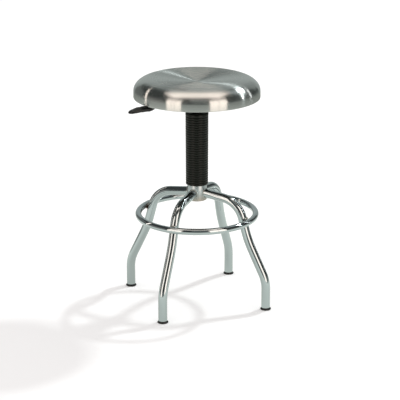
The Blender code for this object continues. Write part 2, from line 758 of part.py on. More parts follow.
def build_socket_and_plate(lift, heading):
    flange_bottom = HOUSING_FLOOR + GAP
    flange_top = flange_bottom + SOCKET_FLANGE_HEIGHT
    flange_radius = SOCKET_RADIUS + SOCKET_FLANGE_WIDTH
    turned_part("taper_socket", [
        (flange_radius, flange_top),
        (flange_radius, flange_bottom),
        (SOCKET_RADIUS, flange_bottom),
        (SOCKET_RADIUS, SOCKET_BOTTOM),
        (pressure_radius(SOCKET_BOTTOM) + GAP, SOCKET_BOTTOM),
        (pressure_radius(PRESSURE_TOP) + GAP, PRESSURE_TOP),
        (pressure_radius(PRESSURE_TOP) + GAP, flange_top),
    ], "zinc_steel", lift)

    lip = HOUSING_HALF + HOUSING_LIP
    top = HOUSING_HEIGHT
    hat = sheet_mesh("lever_housing", [
        (-lip, top), (-lip, top - SHEET), (-HOUSING_HALF, top - SHEET), (-HOUSING_HALF, 0.0),
        (HOUSING_HALF, 0.0), (HOUSING_HALF, top - SHEET), (lip, top - SHEET), (lip, top),
        (HOUSING_INSIDE, top), (HOUSING_INSIDE, SHEET), (-HOUSING_INSIDE, SHEET), (-HOUSING_INSIDE, top),
    ], HOUSING_FRONT + HOUSING_BACK)
    across_to_y = Matrix(((0, 0, 1, 0), (1, 0, 0, 0), (0, 1, 0, 0), (0, 0, 0, 1)))
    hat.transform(across_to_y)
    housing = add_part("lever_housing", hat, "black_steel", heading,
                       location=((HOUSING_FRONT - HOUSING_BACK) / 2, 0.0, HOUSING_BOTTOM))
    socket_hole = cylinder_mesh("socket_hole", SOCKET_RADIUS + GAP, HOUSING_BOTTOM - SHEET,
                                HOUSING_FLOOR + SHEET, sides=HUB_STEPS)
    add_boolean(housing, add_cutter("socket_hole", socket_hole, lift))
    pin_hole = cylinder_mesh("pivot_hole", PIVOT_PIN_RADIUS + GAP, -2 * HOUSING_HALF, 2 * HOUSING_HALF,
                             sides=SMALL_STEPS)
    pin_place = (PIVOT_REACH, 0.0, PIVOT_HEIGHT)
    along_y = (math.pi / 2, 0.0, 0.0)
    add_boolean(housing, add_cutter("pivot_hole", pin_hole, heading, location=pin_place, rotation=along_y))

    corner_centre = PLATE_HALF - PLATE_CORNER
    outline = []
    for quarter in range(4):
        for index in range(PLATE_CORNER_STEPS + 1):
            angle = math.pi / 2 * (quarter + index / PLATE_CORNER_STEPS)
            middle = math.pi / 2 * quarter + math.pi / 4
            outline.append((math.copysign(corner_centre, math.cos(middle)) + PLATE_CORNER * math.cos(angle),
                            math.copysign(corner_centre, math.sin(middle)) + PLATE_CORNER * math.sin(angle)))
    sheet = sheet_mesh("seat_plate", outline, PLATE_THICKNESS)
    plate = add_part("seat_plate", sheet, "black_steel", heading,
                     location=(0.0, 0.0, PLATE_BOTTOM + PLATE_THICKNESS / 2))
    hole = cylinder_mesh("bolt_hole", BOLT_RADIUS + GAP, PLATE_BOTTOM - PLATE_THICKNESS,
                         PLATE_BOTTOM + 2 * PLATE_THICKNESS)
    add_boolean(plate, add_cutter("bolt_holes", copies_mesh("bolt_holes", hole, bolt_places()), heading))


def bolt_places():
    signs = [(1, 1), (-1, 1), (-1, -1), (1, -1)]
    return [Matrix.Translation((BOLT_PLACE * along, BOLT_PLACE * across, 0.0)) for along, across in signs]


def build_fasteners(heading):
    head = cylinder_mesh("bolt_head", BOLT_HEAD_RADIUS, BOLT_HEAD_TOP - BOLT_HEAD_HEIGHT, BOLT_HEAD_TOP,
                         sides=HEXAGON)
    blank = add_cutter("bolt_blank", head)
    shank = cylinder_mesh("bolt_shank", BOLT_RADIUS, BOLT_HEAD_TOP - BOLT_HEAD_HEIGHT / 2,
                          BOLT_HEAD_TOP + BOLT_LENGTH)
    add_boolean(blank, add_cutter("bolt_shank", shank), "UNION")
    bolt = finished_mesh(blank, "mounting_bolt")
    bore = BOLT_RADIUS + GAP
    washer = turned_mesh("lock_washer", ring_outline(bore, bore + LOCK_WASHER_WIDTH, LOCK_WASHER_BOTTOM,
                                                     LOCK_WASHER_BOTTOM + LOCK_WASHER_THICKNESS))
    insert = turned_mesh("threaded_insert", ring_outline(bore, INSERT_RADIUS, BOARD_BOTTOM,
                                                         BOARD_BOTTOM + INSERT_LENGTH))
    for number, place in enumerate(bolt_places(), 1):
        where = place.to_translation()
        add_part("mounting_bolt_" + str(number), bolt, "zinc_steel", heading, location=where)
        add_part("lock_washer_" + str(number), washer, "zinc_steel", heading, location=where)
        add_part("threaded_insert_" + str(number), insert, "brass", heading, location=where)


def dish_points():
    """Top of the pan from the middle of the dish to the crest."""
    points = []
    for index in range(DISH_STEPS + 1):
        share = index / DISH_STEPS
        rise = (1 - math.cos(math.pi * share)) / 2
        points.append((CREST_RADIUS * share, DISH_HEIGHT + DISH_DEPTH * rise))
    return points


def build_seat(lift, heading):
    outline = dish_points()
    for index in range(1, SHOULDER_STEPS + 1):
        angle = math.pi / 2 * index / SHOULDER_STEPS
        outline.append((CREST_RADIUS + SHOULDER_WIDTH * math.sin(angle),
                        SKIRT_TOP + SHOULDER_DROP * math.cos(angle)))
    outline.append((SEAT_RADIUS, RIM_BOTTOM + RIM_EDGE))
    outline.append((SEAT_RADIUS - RIM_EDGE, RIM_BOTTOM))
    outline.append((SEAT_RADIUS - RIM_EDGE - RIM_LIP, RIM_BOTTOM))
    pan = turned_part("seat_pan", outline, "brushed_steel", lift, closed=False, steps=SEAT_STEPS)
    add_shell(pan, PAN_THICKNESS)

    lowered = PAN_THICKNESS + GAP
    edge = CREST_RADIUS + BOARD_EDGE_REACH
    board_outline = [(radius, height - lowered) for radius, height in dish_points()]
    board_outline.append((edge, CREST_HEIGHT - lowered - BOARD_EDGE_DROP))
    board_outline.append((edge, BOARD_BOTTOM))
    board_outline.append((0.0, BOARD_BOTTOM))
    board = turned_part("seat_board", board_outline, "plywood", lift, closed=False, steps=SEAT_STEPS)
    hole = cylinder_mesh("insert_hole", INSERT_RADIUS + GAP, BOARD_BOTTOM - INSERT_LENGTH,
                         BOARD_BOTTOM + max(INSERT_LENGTH, BOLT_LENGTH + BOLT_HEAD_TOP - BOARD_BOTTOM) + GAP)
    holes = copies_mesh("insert_holes", hole, bolt_places())
    add_boolean(board, add_cutter("insert_holes", holes, heading))


# Lever: pivot pin, rod and grip


def build_pivot(heading):
    pin_place = (PIVOT_REACH, 0.0, PIVOT_HEIGHT)
    along_y = (-math.pi / 2, 0.0, 0.0)
    head_bottom = HOUSING_HALF + GAP
    head_top = head_bottom + PIVOT_HEAD_HEIGHT
    nut_top = -HOUSING_HALF - GAP
    nut_bottom = nut_top - PUSH_NUT_THICKNESS
    head_radius = PIVOT_PIN_RADIUS + PIVOT_HEAD_WIDTH
    turned_part("lever_pivot_pin", [
        (0.0, head_top),
        (head_radius, head_top),
        (head_radius, head_bottom),
        (PIVOT_PIN_RADIUS, head_bottom),
        (PIVOT_PIN_RADIUS, nut_bottom - PIVOT_TAIL),
        (0.0, nut_bottom - PIVOT_TAIL),
    ], "zinc_steel", heading, closed=False, steps=SMALL_STEPS, location=pin_place, rotation=along_y)
    nut_bore = PIVOT_PIN_RADIUS + GAP
    nut_outline = ring_outline(nut_bore, nut_bore + PUSH_NUT_WIDTH, nut_bottom, nut_top)
    turned_part("pivot_push_nut", nut_outline, "zinc_steel", heading, steps=SMALL_STEPS,
                location=pin_place, rotation=along_y)


def build_lever(lever):
    """In the lever's own frame: origin on the pivot, +X outwards along the lever."""
    path = rounded_path([
        Vector((-PIVOT_REACH - LEVER_OVERHANG, 0.0, 0.0)),
        Vector((LEVER_BEND_REACH - PIVOT_REACH, 0.0, 0.0)),
        rod_point(GRIP_START + GRIP_SOCKET),
    ], [LEVER_BEND])
    rod = add_part("lever_rod", tube_mesh("lever_rod", path, LEVER_ROD_RADIUS, LEVER_ROD_BEVEL_RESOLUTION),
                   "zinc_steel", lever)
    sleeve_half = HOUSING_INSIDE - SLIP
    sleeve = cylinder_mesh("pivot_sleeve", PIVOT_PIN_RADIUS + GAP + SLEEVE_WALL, -sleeve_half, sleeve_half,
                           sides=SMALL_STEPS)
    along_y = (math.pi / 2, 0.0, 0.0)
    add_boolean(rod, add_cutter("pivot_sleeve", sleeve, lever, rotation=along_y), "UNION")
    bore = cylinder_mesh("sleeve_bore", PIVOT_PIN_RADIUS + GAP, -2 * sleeve_half, 2 * sleeve_half,
                         sides=SMALL_STEPS)
    add_boolean(rod, add_cutter("sleeve_bore", bore, lever, rotation=along_y))

    grip = add_part("lever_grip", grip_mesh(), "black_plastic", lever)
    socket_path = [rod_point(GRIP_START - GRIP_SOCKET), rod_point(GRIP_START + GRIP_SOCKET + SLIP)]
    socket = tube_mesh("grip_socket", socket_path, LEVER_ROD_RADIUS + SLIP, LEVER_ROD_BEVEL_RESOLUTION)
    add_boolean(grip, add_cutter("grip_socket", socket, lever))
    smooth(grip)


def rod_point(reach):
    """A point on the sloping part of the rod's line, at a distance from the swivel axis."""
    return Vector((reach - PIVOT_REACH, 0.0, -GRIP_DROP + (GRIP_ROOT - reach) * LEVER_SLOPE))


def grip_mesh():
    """A paddle lofted from a round neck on the rod to a thin drooping tip."""
    neck = 2 * (LEVER_ROD_RADIUS + SLIP + GRIP_NECK_WALL)
    sections = [  # share of the length, width, thickness
        (0.00, neck, neck),
        (0.10, neck, neck),
        (0.21, GRIP_WIDTH * 0.80, (neck + GRIP_THICKNESS) / 2),
        (0.33, GRIP_WIDTH, GRIP_THICKNESS),
        (0.58, GRIP_WIDTH * 0.95, GRIP_THICKNESS),
        (0.80, GRIP_WIDTH * 0.78, GRIP_THICKNESS * 0.85),
        (0.93, GRIP_WIDTH * 0.54, GRIP_THICKNESS * 0.66),
        (1.00, GRIP_WIDTH * 0.24, GRIP_THICKNESS * 0.34),
    ]
    shape = bmesh.new()
    loops = []
    for share, width, thickness in sections:
        reach = GRIP_START + (GRIP_END - GRIP_START) * share
        along = reach - PIVOT_REACH
        middle = max(-GRIP_DROP, rod_point(reach).z) - GRIP_DROOP * share ** 4
        loop = []
        for index in range(GRIP_POINTS):
            angle = math.tau * index / GRIP_POINTS
            across = math.copysign(abs(math.cos(angle)) ** GRIP_SQUARENESS, math.cos(angle))
            up = math.copysign(abs(math.sin(angle)) ** GRIP_SQUARENESS, math.sin(angle))
            loop.append(shape.verts.new((along, across * width / 2, middle + up * thickness / 2)))
        loops.append(loop)
    for lower, upper in zip(loops, loops[1:]):
        for index in range(GRIP_POINTS):
            following = (index + 1) % GRIP_POINTS
            shape.faces.new((lower[index], lower[following], upper[following], upper[index]))
    shape.faces.new(loops[0])
    shape.faces.new(loops[-1])
    bmesh.ops.recalc_face_normals(shape, faces=shape.faces)
    mesh = bpy.data.meshes.new("lever_grip")
    shape.to_mesh(mesh)
    shape.free()
    return mesh


stool_base = add_empty("stool_base")
swivel_axis = add_empty("swivel_axis", stool_base)
lift_axis = add_empty("lift_axis", swivel_axis)
seat_heading = add_empty("seat_heading", lift_axis, heading=LEVER_HEADING)
lever_axis = add_empty("lever_axis", seat_heading, location=(PIVOT_REACH, 0.0, PIVOT_HEIGHT))
release_axis = add_empty("release_axis", lift_axis)

build_base(stool_base)
build_stand(stool_base)
build_spindle(swivel_axis)
build_gaiter(swivel_axis)
build_pressure_tube(lift_axis)
build_release_pin(release_axis)
build_socket_and_plate(lift_axis, seat_heading)
build_fasteners(seat_heading)
build_seat(lift_axis, seat_heading)
build_pivot(seat_heading)
build_lever(lever_axis)
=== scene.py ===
# Looks of the swivel bar stool: brushed pan seat, ribbed gaiter, chromed bent legs and foot ring
import json
import math
import bmesh
import bpy
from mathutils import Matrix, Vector


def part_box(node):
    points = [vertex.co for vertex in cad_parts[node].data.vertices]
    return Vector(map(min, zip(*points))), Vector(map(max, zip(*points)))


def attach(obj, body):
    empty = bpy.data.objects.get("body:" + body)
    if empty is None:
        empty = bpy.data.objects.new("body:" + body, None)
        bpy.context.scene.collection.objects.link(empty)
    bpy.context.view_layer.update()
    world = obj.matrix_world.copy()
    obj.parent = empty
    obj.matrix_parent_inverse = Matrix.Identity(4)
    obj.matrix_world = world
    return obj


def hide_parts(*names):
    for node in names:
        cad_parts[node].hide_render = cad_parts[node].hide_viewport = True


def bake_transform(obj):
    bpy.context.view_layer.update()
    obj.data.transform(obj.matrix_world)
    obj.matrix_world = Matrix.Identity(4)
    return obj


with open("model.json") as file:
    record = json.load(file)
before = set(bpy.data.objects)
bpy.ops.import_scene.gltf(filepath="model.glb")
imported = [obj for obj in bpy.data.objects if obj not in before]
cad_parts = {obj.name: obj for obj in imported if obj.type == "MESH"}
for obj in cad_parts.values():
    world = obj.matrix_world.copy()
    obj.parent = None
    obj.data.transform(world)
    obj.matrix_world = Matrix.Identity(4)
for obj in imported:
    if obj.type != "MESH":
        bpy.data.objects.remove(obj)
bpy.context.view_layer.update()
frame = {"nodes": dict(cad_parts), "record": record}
record = frame["record"]
print("frame loaded,", len(frame["nodes"]), "nodes")

upAxis = Vector((0, 0, 1))
legTurns = {"front": -90, "right": 0, "rear": 90, "left": 180}  # degrees round the post

# sizes that finishes and meshes share, in metres, with angles in degrees
hubLow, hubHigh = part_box("hub_tube")
hub = {"reach": (hubHigh.x - hubLow.x) / 2, "bottom": hubLow.z, "top": hubHigh.z, "edge": 0.0012,
       "edgeSteps": 5, "taper": 1.43, "boreGap": 0.0003, "around": 96}
ringLow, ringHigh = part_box("foot_ring")
ring = {"height": (ringLow.z + ringHigh.z) / 2, "tube": (ringHigh.z - ringLow.z) / 2, "around": 240,
        "tubeAround": 36}
ring["reach"] = (ringHigh.x - ringLow.x) / 2 - ring["tube"]
ring["contact"] = ring["reach"] - ring["tube"]  # where the ring meets the legs
gaiterLow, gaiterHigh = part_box("bellows")
gaiter = {"shorter": 0.0045, "fuller": 0.0008, "flare": 0.0007, "wall": 0.0011, "lid": 0.003,
          "neckGap": 0.0005, "ribs": 29, "ribDepth": 0.0018, "ribSteps": 10, "crestPower": 0.4,
          "shoulder": 0.005, "shoulderSteps": 8, "topCuff": 0.008, "bottomCuff": 0.004, "edge": 0.001,
          "edgeSteps": 4, "around": 96}
gaiter["bottom"], gaiter["top"] = gaiterLow.z, gaiterHigh.z - gaiter["shorter"]
gaiter["valley"] = (gaiterHigh.x - gaiterLow.x) / 2 + gaiter["fuller"] - gaiter["flare"] - gaiter["ribDepth"]


# shader wiring
class Wire:
    def __init__(self, tree, socket=None):
        self.tree = tree
        self.socket = socket

    def node(self, kind, settings=None, values=None, out=0):  # any node: settings first, then its sockets
        made = self.tree.nodes.new(kind)
        for name, value in (settings or {}).items():
            if name == "stops":
                fillRamp(made.color_ramp, value)
            else:
                setattr(made, name, value)
        setSockets(made, values or {})
        return Wire(self.tree, made.outputs[out] if made.outputs else None)

    def outputs(self):  # all outputs of its node, by name
        return {socket.name: Wire(self.tree, socket) for socket in self.socket.node.outputs}

    def maths(self, operation, *values, clamp=False):
        settings = {"operation": operation, "use_clamp": clamp}
        return self.node("ShaderNodeMath", settings, dict(enumerate(values)))

    def __add__(self, other):
        return self.maths("ADD", self, other)

    def __radd__(self, other):
        return self.maths("ADD", other, self)

    def __sub__(self, other):
        return self.maths("SUBTRACT", self, other)

    def __rsub__(self, other):
        return self.maths("SUBTRACT", other, self)

    def __mul__(self, other):
        return self.maths("MULTIPLY", self, other)

    def __rmul__(self, other):
        return self.maths("MULTIPLY", other, self)

    def __truediv__(self, other):
        return self.maths("DIVIDE", self, other)

    def __rtruediv__(self, other):
        return self.maths("DIVIDE", other, self)

    def root(self):
        return self.maths("SQRT", self)

    def sine(self):
        return self.maths("SINE", self)

    def absolute(self):
        return self.maths("ABSOLUTE", self)

    def larger(self, other):
        return self.maths("MAXIMUM", self, other)

    def smaller(self, other):
        return self.maths("MINIMUM", self, other)

    def clamped(self):
        return self.maths("ADD", self, 0, clamp=True)

    def between(self, low, high):  # 0 at low, 1 at high, smooth
        return self.node("ShaderNodeMapRange", {"interpolation_type": "SMOOTHSTEP"},
                         {"Value": self, "From Min": low, "From Max": high})

    def blend(self, first, second):  # colour mixed by this mask
        return self.node("ShaderNodeMix", {"data_type": "RGBA"}, {0: self, 6: first, 7: second}, out=2)

    def axes(self):
        return self.node("ShaderNodeSeparateXYZ", values={0: self}).outputs().values()

    def vector(self, x, y, z):
        return self.node("ShaderNodeCombineXYZ", values={0: x, 1: y, 2: z})

    def grain(self, vector, scale=1.0, detail=2.0, rough=0.5):  # noise between 0 and 1
        values = {"Vector": vector, "Scale": scale, "Detail": detail, "Roughness": rough}
        return self.node("ShaderNodeTexNoise", values=values)

    def bump(self, height, distance, strength=1.0):
        values = {"Height": height, "Distance": distance, "Strength": strength}
        return self.node("ShaderNodeBump", values=values)


def setSockets(node, values):  # wires are linked, numbers and colours are set
    for name, value in values.items():
        if isinstance(value, Wire):
            node.id_data.links.new(value.socket, node.inputs[name])
        else:
            node.inputs[name].default_value = value


def fillRamp(ramp, stops):
    while len(ramp.elements) < len(stops):
        ramp.elements.new(0.5)
    for element, (place, colour) in zip(ramp.elements, stops):
        element.position = place
        element.color = colour


def length(*parts):  # of a vector, from its parts
    total = parts[0] * parts[0]
    for part in parts[1:]:
        total = total + part * part
    return total.root()


def rgb(red, green, blue):
    return (red, green, blue, 1.0)


def startFinish(name):  # material, its wiring and its place on the object
    material = bpy.data.materials.new(name)
    material.use_nodes = True
    wiring = Wire(material.node_tree)
    place = wiring.node("ShaderNodeTexCoord", out=3)
    return material, wiring, place


def setShader(material, **values):
    shader = material.node_tree.nodes["Principled BSDF"]
    setSockets(shader, {name.replace("_", " "): value for name, value in values.items()})


# finishes
def brushedSteel():
    look = {"pale": rgb(0.545, 0.562, 0.548), "deep": rgb(0.47, 0.487, 0.475), "depth": 0.00003,
            "lines": 1800, "lineRun": 0.9, "lineTone": 0.55, "lineRise": 0.7,
            "bands": 210, "bandRun": 0.8, "bandTone": 0.45, "bandRise": 0.3,
            "pulls": 26, "pullRun": 5, "pullReach": (0.06, 0.14), "pullRise": 0.25, "calmMiddle": 0.004,
            "rough": 0.232, "clouds": 9.0, "cloudRough": 0.03, "grooveFrom": 0.47, "grooveSpan": 0.14,
            "grooveRough": 0.07, "shoulder": (0.11, 0.145), "finerRough": 0.03, "finerGroove": 0.03,
            "finerFrom": 0.05}
    material, wiring, place = startFinish("brushed_seat_steel")
    x, y, z = place.axes()
    reach = length(x, y)
    along = reach - z  # grows from the middle over the shoulder to the rim
    east, north = (axis / (reach + look["calmMiddle"]) for axis in (x, y))
    lineRun, bandRun, pullRun = look["lineRun"], look["bandRun"], look["pullRun"]
    lines = wiring.vector(along * look["lines"], east * lineRun, north * lineRun)
    lines = wiring.grain(lines, detail=3.0, rough=0.7)
    bands = wiring.grain(wiring.vector(along * look["bands"], east * bandRun, north * bandRun))
    pulls = wiring.grain(wiring.vector(east * look["pulls"], north * look["pulls"], along * pullRun))
    pulls = pulls * reach.between(*look["pullReach"])
    cloud = wiring.grain(place, look["clouds"], detail=3.0)
    tone = (lines * look["lineTone"] + bands * look["bandTone"]).clamped()
    shoulder = reach.between(*look["shoulder"])  # brushed more finely than the dish
    sparse = look["grooveFrom"] + shoulder * look["finerFrom"]
    grooves = lines.between(sparse, sparse + look["grooveSpan"])
    grooves = grooves * (look["grooveRough"] - shoulder * look["finerGroove"])
    relief = lines * look["lineRise"] + bands * look["bandRise"] + pulls * look["pullRise"]
    setShader(material, Metallic=1.0, Base_Color=tone.blend(look["deep"], look["pale"]),
              Roughness=look["rough"] - shoulder * look["finerRough"] + grooves + cloud * look["cloudRough"],
              Normal=wiring.bump(relief, look["depth"]), Anisotropic=1.0, Anisotropic_Rotation=0.25)
    return material


burnt = {"below": 0.005, "spread": (0.005, 0.015), "dull": 0.6, "rough": 0.3, "rust": rgb(0.15, 0.08, 0.042)}


def leftBurn(place):  # 1 at the burnt spot below the left ring weld
    x, y, z = place.axes()
    away = length(x + ring["contact"], y, z - (ring["height"] - burnt["below"]))
    return 1 - away.between(*burnt["spread"])


def chromePlate():
    look = {"pale": rgb(0.505, 0.555, 0.57), "deep": rgb(0.455, 0.505, 0.517), "tint": rgb(0.47, 0.42, 0.36),
            "ripples": 34.0, "depth": 0.00011, "bump": 0.6, "rough": 0.06, "smears": 26.0, "smearRough": 0.07,
            "hubEdge": (0.0285, 0.031), "hubRough": 0.2, "hubHeat": (0.002, 0.026), "hubTint": 0.8,
            "weldHeat": (0.006, 0.017), "weldTint": 0.55, "heatRough": 0.12}
    material, wiring, place = startFinish("chrome_plate")
    x, y, z = place.axes()
    smear = wiring.grain(place, look["smears"], detail=3.0)
    ripple = wiring.grain(place, look["ripples"], detail=1.0)
    onHub = 1 - length(x, y).between(*look["hubEdge"])
    low, high = (hub["bottom"] + rise for rise in look["hubHeat"])
    hubHeat = (1 - z.between(low, high)) * onHub
    wide = x.absolute().larger(y.absolute())  # out along any of the four legs
    slim = x.absolute().smaller(y.absolute())
    weldHeat = 1 - length(wide - ring["contact"], slim, z - ring["height"]).between(*look["weldHeat"])
    heat = (hubHeat * look["hubTint"] + weldHeat * look["weldTint"] * smear).clamped()
    burn = leftBurn(place)
    plate = heat.blend(smear.blend(look["deep"], look["pale"]), look["tint"])
    rough = look["rough"] + smear * smear * look["smearRough"] + (heat + hubHeat) * look["heatRough"]
    setShader(material, Metallic=1.0 - burn * burnt["dull"], Base_Color=burn.blend(plate, burnt["rust"]),
              Roughness=rough + onHub * look["hubRough"] + burn * burnt["rough"],
              Normal=wiring.bump(ripple, look["depth"], look["bump"]))
    return material


def weldBead():
    look = {"pale": rgb(0.50, 0.525, 0.50), "scorched": rgb(0.20, 0.125, 0.08), "pits": 900.0,
            "depth": 0.0002, "bump": 0.4, "patches": 150.0, "patchEdge": (0.52, 0.76), "patchDull": 0.35,
            "rough": 0.16, "patchRough": 0.3}
    material, wiring, place = startFinish("chromed_weld")
    patch = wiring.grain(place, look["patches"], detail=4.0).between(*look["patchEdge"])
    pits = wiring.grain(place, look["pits"])
    burn = leftBurn(place)
    setShader(material, Metallic=(1.0 - patch * look["patchDull"]) * (1.0 - burn * burnt["dull"]),
              Base_Color=burn.blend(patch.blend(look["pale"], look["scorched"]), burnt["rust"]),
              Roughness=look["rough"] + patch * look["patchRough"],
              Normal=wiring.bump(pits, look["depth"], look["bump"]))
    return material


def gaiterRubber():
    look = {"crest": rgb(0.0066, 0.0084, 0.0054), "valley": rgb(0.0095, 0.0112, 0.0078), "dust": 180.0,
            "wornTone": 0.75, "dustTone": 0.25, "rough": 0.36, "wornPolish": 0.10, "dustRough": 0.08,
            "depth": 0.0001, "bump": 0.3, "gloss": 0.22}
    material, wiring, place = startFinish("gaiter_rubber")
    x, y, z = place.axes()
    worn = length(x, y).between(gaiter["valley"], gaiter["valley"] + gaiter["ribDepth"])
    dust = wiring.grain(place, look["dust"], detail=4.0)
    tone = worn * look["wornTone"] + dust * look["dustTone"]
    setShader(material, Base_Color=tone.blend(look["valley"], look["crest"]),
              Roughness=look["rough"] - worn * look["wornPolish"] + dust * look["dustRough"],
              Normal=wiring.bump(dust, look["depth"], look["bump"]), Specular_IOR_Level=look["gloss"])
    return material


def mouldedPlastic():
    look = {"base": rgb(0.0085, 0.0092, 0.0087), "rubbed": rgb(0.014, 0.015, 0.0142), "grains": 2200.0,
            "rubs": 70.0, "rubEdge": (0.5, 0.75), "rough": 0.30, "grainRough": 0.12, "rubPolish": 0.05,
            "depth": 0.00008, "bump": 0.5, "gloss": 0.35}
    material, wiring, place = startFinish("moulded_plastic")
    grain = wiring.grain(place, look["grains"])
    rubbed = wiring.grain(place, look["rubs"], detail=3.0).between(*look["rubEdge"])
    setShader(material, Base_Color=rubbed.blend(look["base"], look["rubbed"]),
              Roughness=look["rough"] + grain * look["grainRough"] - rubbed * look["rubPolish"],
              Normal=wiring.bump(grain, look["depth"], look["bump"]), Specular_IOR_Level=look["gloss"])
    return material


def zincPlate():
    look = {"blue": rgb(0.50, 0.525, 0.55), "gold": rgb(0.56, 0.53, 0.45), "sheens": 60.0,
            "sheenEdge": (0.45, 0.7), "spangles": 700.0, "rough": 0.27, "spangleRough": 0.16,
            "depth": 0.00006, "bump": 0.5}
    material, wiring, place = startFinish("zinc_plate")
    sheen = wiring.grain(place, look["sheens"], detail=3.0).between(*look["sheenEdge"])
    spangle = wiring.grain(place, look["spangles"])
    setShader(material, Metallic=1.0, Base_Color=sheen.blend(look["blue"], look["gold"]),
              Roughness=look["rough"] + spangle * look["spangleRough"],
              Normal=wiring.bump(spangle, look["depth"], look["bump"]))
    return material


groundSteel = {"pale": rgb(0.60, 0.61, 0.62), "deep": rgb(0.50, 0.51, 0.52), "run": 40, "lines": 2600,
               "rough": 0.12, "lineRough": 0.12, "depth": 0.00003, "bump": 0.4}
turnedBrass = {"pale": rgb(0.76, 0.60, 0.31), "deep": rgb(0.60, 0.43, 0.19), "run": 30, "lines": 1800,
               "rough": 0.2, "lineRough": 0.18, "depth": 0.00004, "bump": 0.4}


def latheMetal(name, look):  # fine rings left by the lathe or the stone
    material, wiring, place = startFinish(name)
    x, y, z = place.axes()
    lines = wiring.grain(wiring.vector(x * look["run"], y * look["run"], z * look["lines"]))
    setShader(material, Metallic=1.0, Base_Color=lines.blend(look["deep"], look["pale"]),
              Roughness=look["rough"] + lines * look["lineRough"],
              Normal=wiring.bump(lines, look["depth"], look["bump"]))
    return material


def blackPaint():
    look = {"coat": rgb(0.022, 0.022, 0.023), "thin": rgb(0.045, 0.044, 0.043), "thinEdge": (0.45, 0.75),
            "clouds": 35.0, "rough": 0.3, "cloudRough": 0.2, "peels": 420.0, "depth": 0.00015, "bump": 0.35}
    material, wiring, place = startFinish("black_paint")
    peel = wiring.grain(place, look["peels"])
    cloud = wiring.grain(place, look["clouds"], detail=3.0)
    setShader(material, Base_Color=cloud.between(*look["thinEdge"]).blend(look["coat"], look["thin"]),
              Roughness=look["rough"] + cloud * look["cloudRough"],
              Normal=wiring.bump(peel, look["depth"], look["bump"]))
    return material


def naturalNylon():
    look = {"pale": rgb(0.80, 0.79, 0.745), "deep": rgb(0.72, 0.70, 0.64), "flows": 90.0, "rough": 0.42,
            "flowRough": 0.14, "depth": 0.0001, "bump": 0.2}
    material, wiring, place = startFinish("natural_nylon")
    flow = wiring.grain(place, look["flows"], detail=3.0)
    setShader(material, Base_Color=flow.blend(look["deep"], look["pale"]),
              Roughness=look["rough"] + flow * look["flowRough"],
              Normal=wiring.bump(flow, look["depth"], look["bump"]))
    return material


def rawPlywood():
    look = {"pale": rgb(0.60, 0.45, 0.28), "deep": rgb(0.42, 0.28, 0.155), "grains": 260, "grainRun": 22,
            "grainTone": 0.75, "ply": 0.0024, "plyTone": 0.25, "rough": 0.62, "grainRough": 0.2,
            "depth": 0.0003, "bump": 0.4, "nearBlackBelow": rgb(0.012, 0.0115, 0.011), "nearBlackEdge": (0.0002, 0.0012),
            "nearBlackPolish": 0.15}
    material, wiring, place = startFinish("raw_plywood")
    x, y, z = place.axes()
    grain = wiring.vector(x * look["grainRun"], y * look["grains"], z * look["grains"])
    grain = wiring.grain(grain, detail=4.0, rough=0.6)
    layers = (z * (math.tau / look["ply"])).sine() * 0.5 + 0.5
    tone = (grain * look["grainTone"] + layers * look["plyTone"]).clamped()
    low, high = (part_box("seat_board")[0].z + rise for rise in look["nearBlackEdge"])
    darkBelow = 1 - z.between(low, high)  # near black on the board's bottom face, raw wood colour on its edge above
    setShader(material, Base_Color=darkBelow.blend(tone.blend(look["deep"], look["pale"]), look["nearBlackBelow"]),
              Roughness=look["rough"] + grain * look["grainRough"] - darkBelow * look["nearBlackPolish"],
              Normal=wiring.bump(grain, look["depth"], look["bump"]))
    return material


finishes = {
    "chrome": chromePlate(), "seat_steel": brushedSteel(), "zinc_steel": zincPlate(),
    "bearing_steel": latheMetal("ground_steel", groundSteel), "black_steel": blackPaint(),
    "brass": latheMetal("turned_brass", turnedBrass), "black_plastic": mouldedPlastic(),
    "black_rubber": gaiterRubber(), "nylon": naturalNylon(), "plywood": rawPlywood(),
}
weldFinish = weldBead()
for subpart in record["subparts"]:
    node = frame["nodes"][subpart["node"]]
    if not node.material_slots:
        node.data.materials.append(None)
    for held in node.material_slots:
        held.material = finishes[subpart["material_slot"]]
print("finishes made,", len(finishes), "slots")


# mesh helpers
def addObject(name, data):
    made = bpy.data.objects.new(name, data)
    bpy.context.scene.collection.objects.link(made)
    return made


def toMesh(name, shape, finish):
    mesh = bpy.data.meshes.new(name)
    shape.to_mesh(mesh)
    shape.free()
    mesh.materials.append(finish)
    return mesh


def addPiece(name, shape, finish, sharp=40):
    bmesh.ops.recalc_face_normals(shape, faces=shape.faces)
    piece = addObject(name, toMesh(name, shape, finish))
    piece.data.shade_smooth()
    piece.data.set_sharp_from_angle(angle=math.radians(sharp))
    return piece


def anglesRound(count):
    return [math.tau * step / count for step in range(count)]


def joinPair(shape, first, second, wrap):
    count = max(len(first), len(second))
    for step in range(count if wrap else count - 1):
        after = (step + 1) % count
        corners = []
        for row, index in ((first, step), (first, after), (second, after), (second, step)):
            vert = row[index % len(row)]
            if vert not in corners:
                corners.append(vert)
        if len(corners) > 2:
            shape.faces.new(corners)


def joinRows(shape, rows, loop=False, wrap=True):  # faces between each row of points and the next
    for first, second in zip(rows, rows[1:]):
        joinPair(shape, first, second, wrap)
    if loop:
        joinPair(shape, rows[-1], rows[0], wrap)


def turn(shape, outline, around, middle=(0, 0), loop=True):  # lathe (reach, height) points about a post
    x, y = middle
    rows = []
    for reach, height in outline:
        angles = anglesRound(around) if reach else [0]
        rows.append([shape.verts.new((x + reach * math.cos(angle), y + reach * math.sin(angle), height))
                     for angle in angles])
    joinRows(shape, rows, loop)


